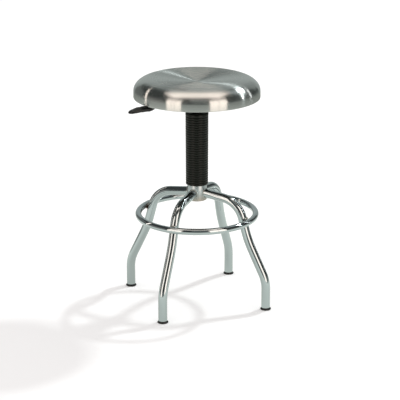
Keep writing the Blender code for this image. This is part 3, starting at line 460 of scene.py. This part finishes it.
def sweep(shape, path, ups, sizes, around, loop=False):  # tube along a path, one size for each point
    rows = []
    last = len(path) - 1
    for index, (point, up, size) in enumerate(zip(path, ups, sizes)):
        before = path[index - 1] if loop or index else point
        after = path[(index + 1) % len(path)] if loop or index < last else point
        forward = (after - before).normalized()
        first = (up - forward * up.dot(forward)).normalized()
        second = forward.cross(first)
        rows.append([shape.verts.new(point + (first * math.cos(angle) + second * math.sin(angle)) * size)
                     for angle in anglesRound(around)])
    joinRows(shape, rows, loop)
    return rows


def arc(middle, radius, start, end, steps):  # (reach, height) points, angles in degrees from straight up
    points = []
    for step in range(steps + 1):
        angle = math.radians(start + (end - start) * step / steps)
        points.append((middle[0] + radius * math.sin(angle), middle[1] + radius * math.cos(angle)))
    return points


def roundedRun(corners, bends, stepAngle):  # straight runs with rounded corners
    path = [corners[0]]
    for before, corner, after, bend in zip(corners, corners[1:], corners[2:], bends):
        arriving, leaving = (corner - before).normalized(), (after - corner).normalized()
        swing = arriving.angle(leaving)
        inward = (leaving - arriving * arriving.dot(leaving)).normalized()
        middle = corner - arriving * bend * math.tan(swing / 2) + inward * bend
        steps = max(3, round(math.degrees(swing) / stepAngle))
        for step in range(steps + 1):
            angle = swing * step / steps
            path.append(middle + (arriving * math.sin(angle) - inward * math.cos(angle)) * bend)
    path.append(corners[-1])
    return path


def fillPath(path, gap):  # more points on long straight runs
    filled = [path[0]]
    for before, after in zip(path, path[1:]):
        steps = max(1, round((after - before).length / gap))
        filled += [before.lerp(after, step / steps) for step in range(1, steps + 1)]
    return filled


def spun(point, degrees):  # a point of the right leg's plane turned to another leg
    angle = math.radians(degrees)
    return Vector((point.x * math.cos(angle) - point.y * math.sin(angle),
                   point.x * math.sin(angle) + point.y * math.cos(angle), point.z))


# seat
seat = {"crest": 0.1296, "dish": 0.0096, "shoulder": (0.0489, 0.0356), "rimEdge": 0.0015, "rimLip": 0.006,
        "sheet": 0.0012, "dishSteps": 28, "shoulderSteps": 40, "edgeSteps": 4, "around": 288}


def seatOutline(sink):  # top side of the pan, or its underside when sunk by the sheet
    low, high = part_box("seat_pan")
    reach = (high.x - low.x) / 2
    wide, drop = seat["shoulder"]
    edge = seat["rimEdge"]
    points = []
    for step in range(seat["dishSteps"] + 1):
        share = step / seat["dishSteps"]
        rise = (1 - math.cos(math.pi * share)) / 2
        points.append((seat["crest"] * share, high.z - seat["dish"] * (1 - rise) - sink))
    for step in range(1, seat["shoulderSteps"] + 1):
        angle = math.pi / 2 * step / seat["shoulderSteps"]
        points.append((seat["crest"] + (wide - sink) * math.sin(angle),
                       high.z - drop + (drop - sink) * math.cos(angle)))
    for step in range(seat["edgeSteps"] + 1):
        angle = math.pi / 2 * step / seat["edgeSteps"]
        points.append((reach - edge + (edge - sink) * math.cos(angle),
                       low.z + edge - (edge - sink) * math.sin(angle)))
    points.append((reach - edge - seat["rimLip"], low.z + sink))
    return points


def buildSeat():
    shape = bmesh.new()
    outline = seatOutline(0) + list(reversed(seatOutline(seat["sheet"])))
    turn(shape, outline, seat["around"], loop=False)
    shell = addPiece("seat_shell", shape, finishes["seat_steel"], sharp=50)
    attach(shell, "seat")
    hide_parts("seat_pan")


buildSeat()
print("seat pan spun")


# gaiter
def buildGaiter():
    bottom, top, edge, shoulder = (gaiter[name] for name in ("bottom", "top", "edge", "shoulder"))
    valley, depth = gaiter["valley"], gaiter["ribDepth"]
    bore = valley - gaiter["wall"]
    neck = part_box("pressure_tube")[1].x + gaiter["neckGap"]
    ribsTop, ribsBottom = top - gaiter["topCuff"], bottom + gaiter["bottomCuff"]
    pitch = (ribsTop - ribsBottom) / gaiter["ribs"]

    def lean(height):
        return gaiter["flare"] * (height - bottom) / (top - bottom)

    outline = [(neck, top)]
    middle = (valley + depth + lean(top) - shoulder, top - shoulder)
    outline += arc(middle, shoulder, 0, 90, gaiter["shoulderSteps"])
    for step in range(gaiter["ribs"] * gaiter["ribSteps"] + 1):
        share = step / gaiter["ribSteps"]
        height = ribsTop - share * pitch
        swell = abs(math.cos(math.pi * share)) ** gaiter["crestPower"]  # broad crest, narrow valley
        outline.append((valley + depth * swell + lean(height), height))
    outline += arc((valley + depth - edge, bottom + edge), edge, 90, 180, gaiter["edgeSteps"])
    outline += [(bore, bottom), (bore, top - gaiter["lid"]), (neck, top - gaiter["lid"])]
    shape = bmesh.new()
    turn(shape, outline, gaiter["around"])
    sleeve = addPiece("gaiter_sleeve", shape, finishes["black_rubber"], sharp=60)
    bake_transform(sleeve)
    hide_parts("bellows")


buildGaiter()
print("gaiter ribbed")


# hub, legs and ring
leg = {"tube": 0.0127, "wall": 0.0015, "armRise": 0.0208, "knee": (0.1302, 0.0124), "shin": (0.1608, 0.200),
       "ankle": 0.0843, "bends": (0.070, 0.300, 0.100), "bendStep": 2.4, "runGap": 0.012, "around": 60}
across = Vector((0, 1, 0))  # level, at right angles to the right leg's plane


def legPath():  # centre line of the right leg, from the hub to its foot
    capLow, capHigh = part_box("foot_cap_right")
    footReach = (capLow.x + capHigh.x) / 2
    armHeight = hub["bottom"] + leg["armRise"]
    kneeReach, kneeDrop = leg["knee"]
    shinReach, shinHeight = leg["shin"]
    corners = [Vector((hub["reach"], 0, armHeight)), Vector((kneeReach, 0, armHeight - kneeDrop)),
               Vector((shinReach, 0, shinHeight)), Vector((footReach, 0, leg["ankle"])),
               Vector((footReach, 0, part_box("leg_right")[0].z))]
    return fillPath(roundedRun(corners, leg["bends"], leg["bendStep"]), leg["runGap"])


def runToHub(point, forward, reach):  # how far along the arm a point meets the hub's face
    return (math.sqrt(reach ** 2 - point.y ** 2) - point.x) / forward.x


def buildLegs(path):
    forward = (path[1] - path[0]).normalized()
    for side, degrees in legTurns.items():
        shape = bmesh.new()
        walls = [sweep(shape, path, [across] * len(path), [size] * len(path), leg["around"])
                 for size in (leg["tube"], leg["tube"] - leg["wall"])]
        for rows in walls:
            for vert in rows[0]:  # coped to the hub
                vert.co += forward * runToHub(vert.co, forward, hub["reach"])
        for end in (0, -1):
            joinRows(shape, [rows[end] for rows in walls])
        for vert in shape.verts:
            vert.co = spun(vert.co, degrees)
        tube = addPiece("leg_tube_" + side, shape, finishes["chrome"])
        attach(tube, "base")
        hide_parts("leg_" + side)


def buildHub():
    reach, edge, steps = hub["reach"], hub["edge"], hub["edgeSteps"]
    taper = math.tan(math.radians(hub["taper"])) * (hub["top"] - hub["bottom"])
    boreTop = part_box("outer_tube")[1].x + hub["boreGap"]
    outline = arc((reach - edge, hub["top"] - edge), edge, 0, 90, steps)
    outline += arc((reach - edge, hub["bottom"] + edge), edge, 90, 180, steps)
    outline += [(boreTop - taper, hub["bottom"]), (boreTop, hub["top"])]
    shape = bmesh.new()
    turn(shape, outline, hub["around"])
    sleeve = addPiece("hub_sleeve", shape, finishes["chrome"])
    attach(sleeve, "base")
    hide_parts("hub_tube")


def buildRing():
    outwards = [Vector((math.cos(angle), math.sin(angle), 0)) for angle in anglesRound(ring["around"])]
    path = [out * ring["reach"] + upAxis * ring["height"] for out in outwards]
    shape = bmesh.new()
    sweep(shape, path, outwards, [ring["tube"]] * len(path), ring["tubeAround"], loop=True)
    tube = addPiece("ring_tube", shape, finishes["chrome"])
    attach(tube, "base")
    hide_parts("foot_ring")


legLine = legPath()
buildHub()
buildLegs(legLine)
buildRing()
print("hub, legs and ring bent")


# welds
weld = {"bead": 0.0013, "proud": 0.3, "ripple": 0.12, "ripples": 34, "wander": 0.1, "wanders": 3,
        "steps": 170, "around": 12, "ringBead": 0.0026, "ringTip": 0.0002, "ringSwing": 34,
        "ringRise": 0.0062, "ringGap": 0.0012, "ringRipples": 7, "ringSteps": 40}


def buildHubWeld(side, degrees, path):  # bead round the arm where it meets the hub
    forward = (path[1] - path[0]).normalized()
    rise = across.cross(forward)
    proud = weld["bead"] * weld["proud"]
    points, ups, sizes = [], [], []
    for angle in anglesRound(weld["steps"]):
        out = across * math.cos(angle) + rise * math.sin(angle)
        point = path[0] + out * (leg["tube"] + proud)
        point += forward * runToHub(point, forward, hub["reach"] + proud)
        points.append(spun(point, degrees))
        ups.append(spun(out, degrees))
        ripple = weld["ripple"] * math.cos(weld["ripples"] * angle)
        wander = weld["wander"] * math.sin(weld["wanders"] * angle)
        sizes.append(weld["bead"] * (1 + ripple + wander))
    shape = bmesh.new()
    sweep(shape, points, ups, sizes, weld["around"], loop=True)
    bead = addPiece("hub_weld_" + side, shape, weldFinish, sharp=80)
    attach(bead, "base")


def buildRingWeld(side, degrees, where, sign, path):  # bead in the groove between ring and leg
    height = ring["height"] + sign * weld["ringRise"]
    spot = min(path, key=lambda point: abs(point.z - height))
    points, sizes = [], []
    for step in range(weld["ringSteps"] + 1):
        share = step / weld["ringSteps"] * 2 - 1
        angle = math.radians(share * weld["ringSwing"])
        point = spot + Vector((math.cos(angle), math.sin(angle), 0)) * (leg["tube"] + weld["ringGap"])
        point.z = height
        points.append(spun(point, degrees))
        ripple = 1 + weld["ripple"] * math.cos(math.pi * weld["ringRipples"] * share)
        sizes.append(max(weld["ringTip"], weld["ringBead"] * ripple * math.sqrt(1 - share ** 4)))
    shape = bmesh.new()
    rows = sweep(shape, points, [upAxis] * len(points), sizes, weld["around"])
    for row in (rows[0], rows[-1]):
        shape.faces.new(row)
    bead = addPiece("ring_weld_" + side + "_" + where, shape, weldFinish, sharp=80)
    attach(bead, "base")


for side, degrees in legTurns.items():
    buildHubWeld(side, degrees, legLine)
    for where, sign in (("top", 1), ("under", -1)):
        buildRingWeld(side, degrees, where, sign, legLine)
print("welds laid")


# feet
foot = {"flange": 0.0157, "height": 0.006, "edge": 0.0015, "edgeSteps": 6, "plug": 0.0107, "plugRise": 0.020,
        "flare": [(0.0004, 0.0006), (0.0010, 0.0018)],  # out from the tube and down from the cap's top
        "lip": (0.0006, 0.0010), "sole": 0.004, "hollow": (0.0045, 0.0006), "around": 56}


def buildFeet():
    tube, flange, edge, height = leg["tube"], foot["flange"], foot["edge"], foot["height"]
    plugTop = height + foot["plugRise"]
    hollowIn, hollowRise = foot["hollow"]
    outline = [(0, plugTop), (foot["plug"], plugTop), (foot["plug"], height), (tube, height)]
    outline += [(tube + out, height - down) for out, down in foot["flare"]]
    outline += [(flange - foot["lip"][0], edge + foot["lip"][1])]
    outline += arc((flange - edge, edge), edge, 90, 180, foot["edgeSteps"])[1:]
    outline += [(flange - foot["sole"], 0), (flange - hollowIn, hollowRise), (0, hollowRise)]
    for side in legTurns:
        low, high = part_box("foot_cap_" + side)
        shape = bmesh.new()
        turn(shape, outline, foot["around"], ((low.x + high.x) / 2, (low.y + high.y) / 2), loop=False)
        plug = addPiece("foot_plug_" + side, shape, finishes["black_plastic"], sharp=50)
        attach(plug, "base")
        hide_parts("foot_cap_" + side)


buildFeet()
print("feet plugged")


# lever paddle
joints = {joint["name"]: joint for joint in record["behaviour"]["joints"]}
pivot = Vector(joints["lever_pull"]["pos_m"])
lever = {"start": 0.126, "root": 0.156, "end": 0.2170, "drop": 0.0248, "slope": 0.2557, "droop": 0.0042,
         "width": 0.029, "thick": 0.012, "bore": 0.0042, "boreDepth": 0.0235, "stations": 64, "around": 64,
         "bunching": 0.9, "roundFrom": 0.86, "blunt": 0.25, "mouth": (0.12, 0.02),
         "square": 0.8, "squareSpan": (0.08, 0.28),
         "dish": 0.0009, "dishWidth": 0.86, "dishStart": (0.30, 0.45), "dishEnd": (0.85, 0.97),
         "shape": [(0, 0.50, 1.17, 0), (0.10, 0.62, 1.22, -0.0012), (0.22, 0.92, 1.22, -0.0014),
                   (0.33, 1.0, 1.22, -0.0006), (0.43, 1.0, 1.27, 0.0006), (0.54, 0.98, 1.22, 0.0002),
                   (0.64, 0.95, 1.18, 0.0008), (0.72, 0.90, 1.13, 0.0001), (0.86, 0.82, 0.84, -0.0006),
                   (1.0, 0.66, 0.80, -0.0008)]}  # shares of its length, width and thickness, then its lift


def eased(keys, share, column):  # smooth curve through the keys
    index = max(0, min(len(keys) - 2, sum(key[0] <= share for key in keys) - 1))
    around = [keys[max(0, min(len(keys) - 1, index + step))] for step in (-1, 0, 1, 2)]
    (x0, y0), (x1, y1), (x2, y2), (x3, y3) = [(key[0], key[column]) for key in around]
    local = (share - x1) / (x2 - x1)
    leaving = (y2 - y0) / (x2 - x0) * (x2 - x1) if x2 > x0 else 0
    arriving = (y3 - y1) / (x3 - x1) * (x2 - x1) if x3 > x1 else 0
    square, cube = local * local, local ** 3
    return ((2 * cube - 3 * square + 1) * y1 + (cube - 2 * square + local) * leaving
            + (3 * square - 2 * cube) * y2 + (cube - square) * arriving)


def climb(share, low, high):  # 0 up to low, 1 from high on, straight between
    return max(0.0, min(1.0, (share - low) / (high - low)))


def squared(value, power):  # round at a power of 1, boxier below it
    return math.copysign(abs(value) ** power, value)


def paddlePoint(share, aside, rise):  # from the lever's own line to the stool's frame
    out = Vector((pivot.x, pivot.y, 0)).normalized()
    reach = lever["start"] + (lever["end"] - lever["start"]) * share
    return out * reach + upAxis.cross(out) * aside + upAxis * (pivot.z + rise)


def buildPaddle():
    span = lever["end"] - lever["start"]
    bore, depth = 2 * lever["bore"], lever["boreDepth"] / span
    shape = bmesh.new()
    rows = []

    def addRow(share, wide, thick, power, dish, rise):
        row = []
        for angle in anglesRound(lever["around"]):
            aside, up = squared(math.cos(angle), power), squared(math.sin(angle), power)
            sink = dish * max(0.0, 1 - (aside / lever["dishWidth"]) ** 4) if up > 0 else 0
            point = paddlePoint(share, aside * wide / 2, rise + up * thick / 2 - sink)
            row.append(shape.verts.new(point))
        rows.append(row)

    def rodLine(share):
        return -lever["drop"] + (lever["root"] - lever["start"] - span * share) * lever["slope"]

    rows.append([shape.verts.new(paddlePoint(depth, 0, rodLine(depth)))])
    for share in (depth, depth / 2, 0):
        addRow(share, bore, bore, 1, 0, rodLine(share))
    for station in range(lever["stations"]):
        share = math.sin(math.pi / 2 * station / lever["stations"]) ** lever["bunching"]
        cap = math.sqrt(1 - climb(share, lever["roundFrom"], 1) ** 2)  # round end
        mouth = 1 - lever["mouth"][0] * (1 - climb(share, 0, lever["mouth"][1])) ** 2
        widthShare, thickShare, lift = (eased(lever["shape"], share, column) for column in (1, 2, 3))
        bluntCap = lever["blunt"] + (1 - lever["blunt"]) * cap
        wide = lever["width"] * widthShare * bluntCap * math.sqrt(cap) * mouth
        thick = lever["thick"] * thickShare * cap * mouth
        window = climb(share, *lever["dishStart"]) * (1 - climb(share, *lever["dishEnd"]))
        rise = max(-lever["drop"], rodLine(share)) - lever["droop"] * share ** 4 + lift
        power = 1 - (1 - lever["square"]) * climb(share, *lever["squareSpan"])
        addRow(share, wide, thick, power, lever["dish"] * window * cap, rise)
    rows.append([shape.verts.new(paddlePoint(1, 0, -lever["drop"] - lever["droop"]))])
    joinRows(shape, rows)
    paddle = addPiece("lever_paddle", shape, finishes["black_plastic"], sharp=60)
    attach(paddle, "lever")
    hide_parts("lever_grip")


buildPaddle()
print("lever paddle moulded")


# studio: camera, floor, lamp and the surroundings that the metal mirrors
shot = {"place": (1.8439, -3.7750, 1.6473), "tilt": 72.183, "turn": 25.915, "lens": 138.41, "sensor": 36}
view = Vector(shot["place"]).xy.normalized()
towards = Vector((view.x, view.y, 0))
rightwards = Vector((-view.y, view.x, 0))


def stagePoint(turnDegrees, distance, height):  # turn 0 is at the camera, 90 at its right hand
    angle = math.radians(turnDegrees)
    return (towards * math.cos(angle) + rightwards * math.sin(angle)) * distance + upAxis * height


def addCamera():
    camera = bpy.data.cameras.new("photo_camera")
    camera.lens = shot["lens"]
    camera.sensor_width = shot["sensor"]
    holder = addObject("photo_camera", camera)
    holder.location = shot["place"]
    holder.rotation_euler = (math.radians(shot["tilt"]), 0, math.radians(shot["turn"]))
    bpy.context.scene.camera = holder


shadowLamp = {"place": (129, 1.85, 2.3), "reach": 0.115, "colour": (0.95, 1.0, 1.0), "strength": 13.0}


def addLamp():  # throws the shadow, and is even over the floor
    lamp = bpy.data.lights.new("shadow_lamp", "POINT")
    lamp.shadow_soft_size = shadowLamp["reach"]
    lamp.color = shadowLamp["colour"]
    lamp.energy = 1.0
    lamp.use_nodes = True
    falloff = {"Strength": shadowLamp["strength"]}
    even = Wire(lamp.node_tree).node("ShaderNodeLightFalloff", values=falloff, out=2)
    setSockets(lamp.node_tree.nodes["Emission"], {"Strength": even})
    holder = addObject("shadow_lamp", lamp)
    holder.location = stagePoint(*shadowLamp["place"])
    holder.visible_glossy = False


dimBelow = 5  # weaker glows are found by the mirror rays alone, which keeps the brushed steel free of speckle


def emptyWiring(owner):  # of a material or a world
    owner.use_nodes = True
    owner.node_tree.nodes.clear()
    return Wire(owner.node_tree)


def glowFinish(name, colour, strength):
    material = bpy.data.materials.new(name)
    wiring = emptyWiring(material)
    glow = wiring.node("ShaderNodeEmission", values={"Color": rgb(*colour), "Strength": strength})
    wiring.node("ShaderNodeOutputMaterial", values={"Surface": glow})
    if strength < dimBelow:
        material.cycles.emission_sampling = "NONE"
    return material


def addStage(name, shape, finish):
    thing = addObject(name, toMesh(name, shape, finish))
    return thing


def addMirrored(name, shape, finish):  # seen in reflections, and by nothing else
    thing = addStage(name, shape, finish)
    thing.visible_camera = False
    thing.visible_diffuse = False
    thing.visible_shadow = False
    thing.visible_volume_scatter = False
    return thing


floor = {"size": 60, "height": -0.0004, "paper": rgb(0.95, 0.945, 0.94), "lift": rgb(0.15, 0.15, 0.15)}
sky = {"light": rgb(0.8, 0.7824, 0.78), "seen": rgb(1, 1, 1)}


def seenRays(wiring):  # 1 for what the camera sees, itself or in metal and glass
    rays = wiring.node("ShaderNodeLightPath").outputs()
    return (rays["Is Camera Ray"] + rays["Is Glossy Ray"] + rays["Is Transmission Ray"]).clamped()


def addFloor():
    shape = bmesh.new()
    bmesh.ops.create_grid(shape, x_segments=1, y_segments=1, size=floor["size"] / 2)
    material = bpy.data.materials.new("pale_floor")
    wiring = emptyWiring(material)
    paper = wiring.node("ShaderNodeBsdfDiffuse", values={"Color": floor["paper"]})
    lift = seenRays(wiring).blend(rgb(0, 0, 0), floor["lift"])  # turns the paper white for the eye alone
    glow = wiring.node("ShaderNodeEmission", values={"Color": lift, "Strength": 1.0})
    both = wiring.node("ShaderNodeAddShader", values={0: paper, 1: glow})
    wiring.node("ShaderNodeOutputMaterial", values={"Surface": both})
    material.cycles.emission_sampling = "NONE"
    ground = addStage("floor", shape, material)
    ground.location.z = floor["height"]


def addWorld():
    world = bpy.data.worlds.new("studio")
    wiring = emptyWiring(world)
    colour = seenRays(wiring).blend(sky["light"], sky["seen"])
    back = wiring.node("ShaderNodeBackground", values={"Color": colour, "Strength": 1.0})
    wiring.node("ShaderNodeOutputWorld", values={"Surface": back})
    bpy.context.scene.world = world


room = {"reach": 3.4, "bottom": 0.001, "strip": 0.55, "top": 3.4, "colour": (0.92, 1.0, 0.96), "lower": 0.24,
        "upper": 0.068, "around": 64}
apron = {"place": (-90, 0.14, -0.0002), "past": 0.4,  # stops lie at shares of the room's reach
         "stops": [(0.03, rgb(0.70, 0.73, 0.675)), (0.10, rgb(0.86, 0.90, 0.835)),
                   (0.27, rgb(1.02, 1.06, 0.985)), (0.66, rgb(0.30, 0.318, 0.293))]}


def addRoom():  # dark walls above a paler strip
    reach, bottom, strip, top = (room[name] for name in ("reach", "bottom", "strip", "top"))
    walls = {"wall_strip": ([(reach, bottom), (reach, strip)], room["lower"]),
             "dark_room": ([(reach, strip), (reach, top), (0, top)], room["upper"])}
    for name, (outline, strength) in walls.items():
        shape = bmesh.new()
        turn(shape, outline, room["around"], loop=False)
        addMirrored(name, shape, glowFinish(name, room["colour"], strength))


def addApron():  # how the floor's light falls off, as the metal mirrors it
    shape = bmesh.new()
    turn(shape, [(0, 0), (room["reach"] + apron["past"], 0)], room["around"], loop=False)
    material = glowFinish("apron", neutral, 1.0)
    wiring = Wire(material.node_tree)
    x, y, z = wiring.node("ShaderNodeTexCoord", out=3).axes()
    level = wiring.node("ShaderNodeValToRGB", {"stops": apron["stops"]}, {0: length(x, y) / room["reach"]})
    setSockets(material.node_tree.nodes["Emission"], {"Color": level})
    addMirrored("apron", shape, material).location = stagePoint(*apron["place"])


warm, neutral, cool, grey = (1.0, 0.87, 0.785), (1.0, 1.0, 1.0), (0.93, 1.0, 1.0), (0.92, 1.0, 0.97)
atSeat = (0, 0, 0.6)
cards = [  # name, place and aim as turn, distance and height, then size, colour and strength
    ("back_wide", (180, 2.75, 0.9), (0, 0, 0.9), (3.8, 1.8), grey, 0.42),
    ("back_left", (-130, 2.6, 0.95), atSeat, (1.7, 1.6), (0.95, 1.0, 0.96), 0.2),
    ("front_wall", (5, 2.5, 2.4), atSeat, (1.5, 1.5), (0.95, 1.0, 0.97), 0.27),
    ("right_glow", (122, 1.75, 2.95), atSeat, (1.0, 0.6), cool, 0.75),
    ("back_right", (149, 2.5, 1.75), atSeat, (1.2, 1.1), grey, 0.38),
    ("back_drop", (180, 2.6, 1.6), (0, 0, 1.6), (2.1, 3.2), grey, 0.50),
    ("back_ceiling", (180, 1.5, 3.2), (180, 1.499, 0), (1.9, 2.2), grey, 0.50),
    ("dark_flag", (-174.5, 2.4, 2.2), atSeat, (0.22, 0.9), neutral, 0.08),
    ("left_wall", (-78, 2.5, 0.65), atSeat, (1.7, 1.3), (1.0, 0.97, 0.92), 0.3),
    ("left_box", (-39.8, 1.4, 0.7255), atSeat, (0.655, 1.43), warm, 2.2),
    ("right_box", (37.2, 1.4, 0.7255), atSeat, (0.765, 1.43), warm, 2.35),
    ("left_haze", (-57, 1.4, 2.35), atSeat, (0.6, 0.9), warm, 0.65),
    ("right_haze", (52, 1.4, 2.45), atSeat, (0.7, 0.9), warm, 0.6),
    ("left_seam_outer", (-44.3, 1.38, 0.7255), atSeat, (0.032, 1.43), warm, 1.2),
    ("left_seam_inner", (-38.2, 1.38, 0.7255), atSeat, (0.032, 1.43), warm, 1.2),
    ("right_seam", (37.6, 1.38, 0.7255), atSeat, (0.032, 1.43), warm, 1.2),
    ("over_box", (0, 0.13, 1.45), (0, 0.131, 0), (1.06, 0.64), warm, 2.1),
    ("key_lamp", (132, 1.75, 2.27), atSeat, (0.035, 0.30), cool, 370),
]
strips = [  # name, distance, its bends as turn and height, then width, colour and strength
    ("key_strip", 1.75, [(122, 2.27), (112, 2.12), (103.8, 1.91), (93, 1.46), (87.5, 0.98),
                         (87.5, 0.75)], 0.055, cool, 12),
    ("left_strip", 2.2, [(-101, 0.05), (-100, 0.85), (-104.6, 1.36), (-113, 1.82), (-122, 2.14),
                         (-134, 2.35)], 0.11, warm, 3.4),
    ("right_strip", 2.2, [(109, 0.4), (110, 1.17), (121.7, 1.88), (134, 2.15)], 0.11, neutral, 2.8),
]


def addCard(name, place, aim, size, colour, strength):
    shape = bmesh.new()
    bmesh.ops.create_grid(shape, x_segments=1, y_segments=1, size=0.5)
    for vert in shape.verts:
        vert.co.x *= size[0]
        vert.co.y *= size[1]
    card = addMirrored(name, shape, glowFinish(name, colour, strength))
    card.location = place
    card.rotation_euler = (aim - place).to_track_quat("-Z", "Y").to_euler()


def addStrip(name, points, width, colour, strength):  # narrow lamp bent through its points
    shape = bmesh.new()
    rows = []
    for index, point in enumerate(points):
        run = points[min(index + 1, len(points) - 1)] - points[max(index - 1, 0)]
        side = run.cross(stagePoint(*atSeat) - point).normalized() * width / 2
        rows.append([shape.verts.new(point - side), shape.verts.new(point + side)])
    joinRows(shape, rows, wrap=False)
    addMirrored(name, shape, glowFinish(name, colour, strength))


addCamera()
addFloor()
addWorld()
addLamp()
addRoom()
addApron()
for name, place, aim, size, colour, strength in cards:
    addCard(name, stagePoint(*place), stagePoint(*aim), size, colour, strength)
for name, distance, bends, width, colour, strength in strips:
    points = [stagePoint(degrees, distance, height) for degrees, height in bends]
    addStrip(name, points, width, colour, strength)

bpy.context.scene.view_settings.view_transform = "Standard"
print("studio lit")
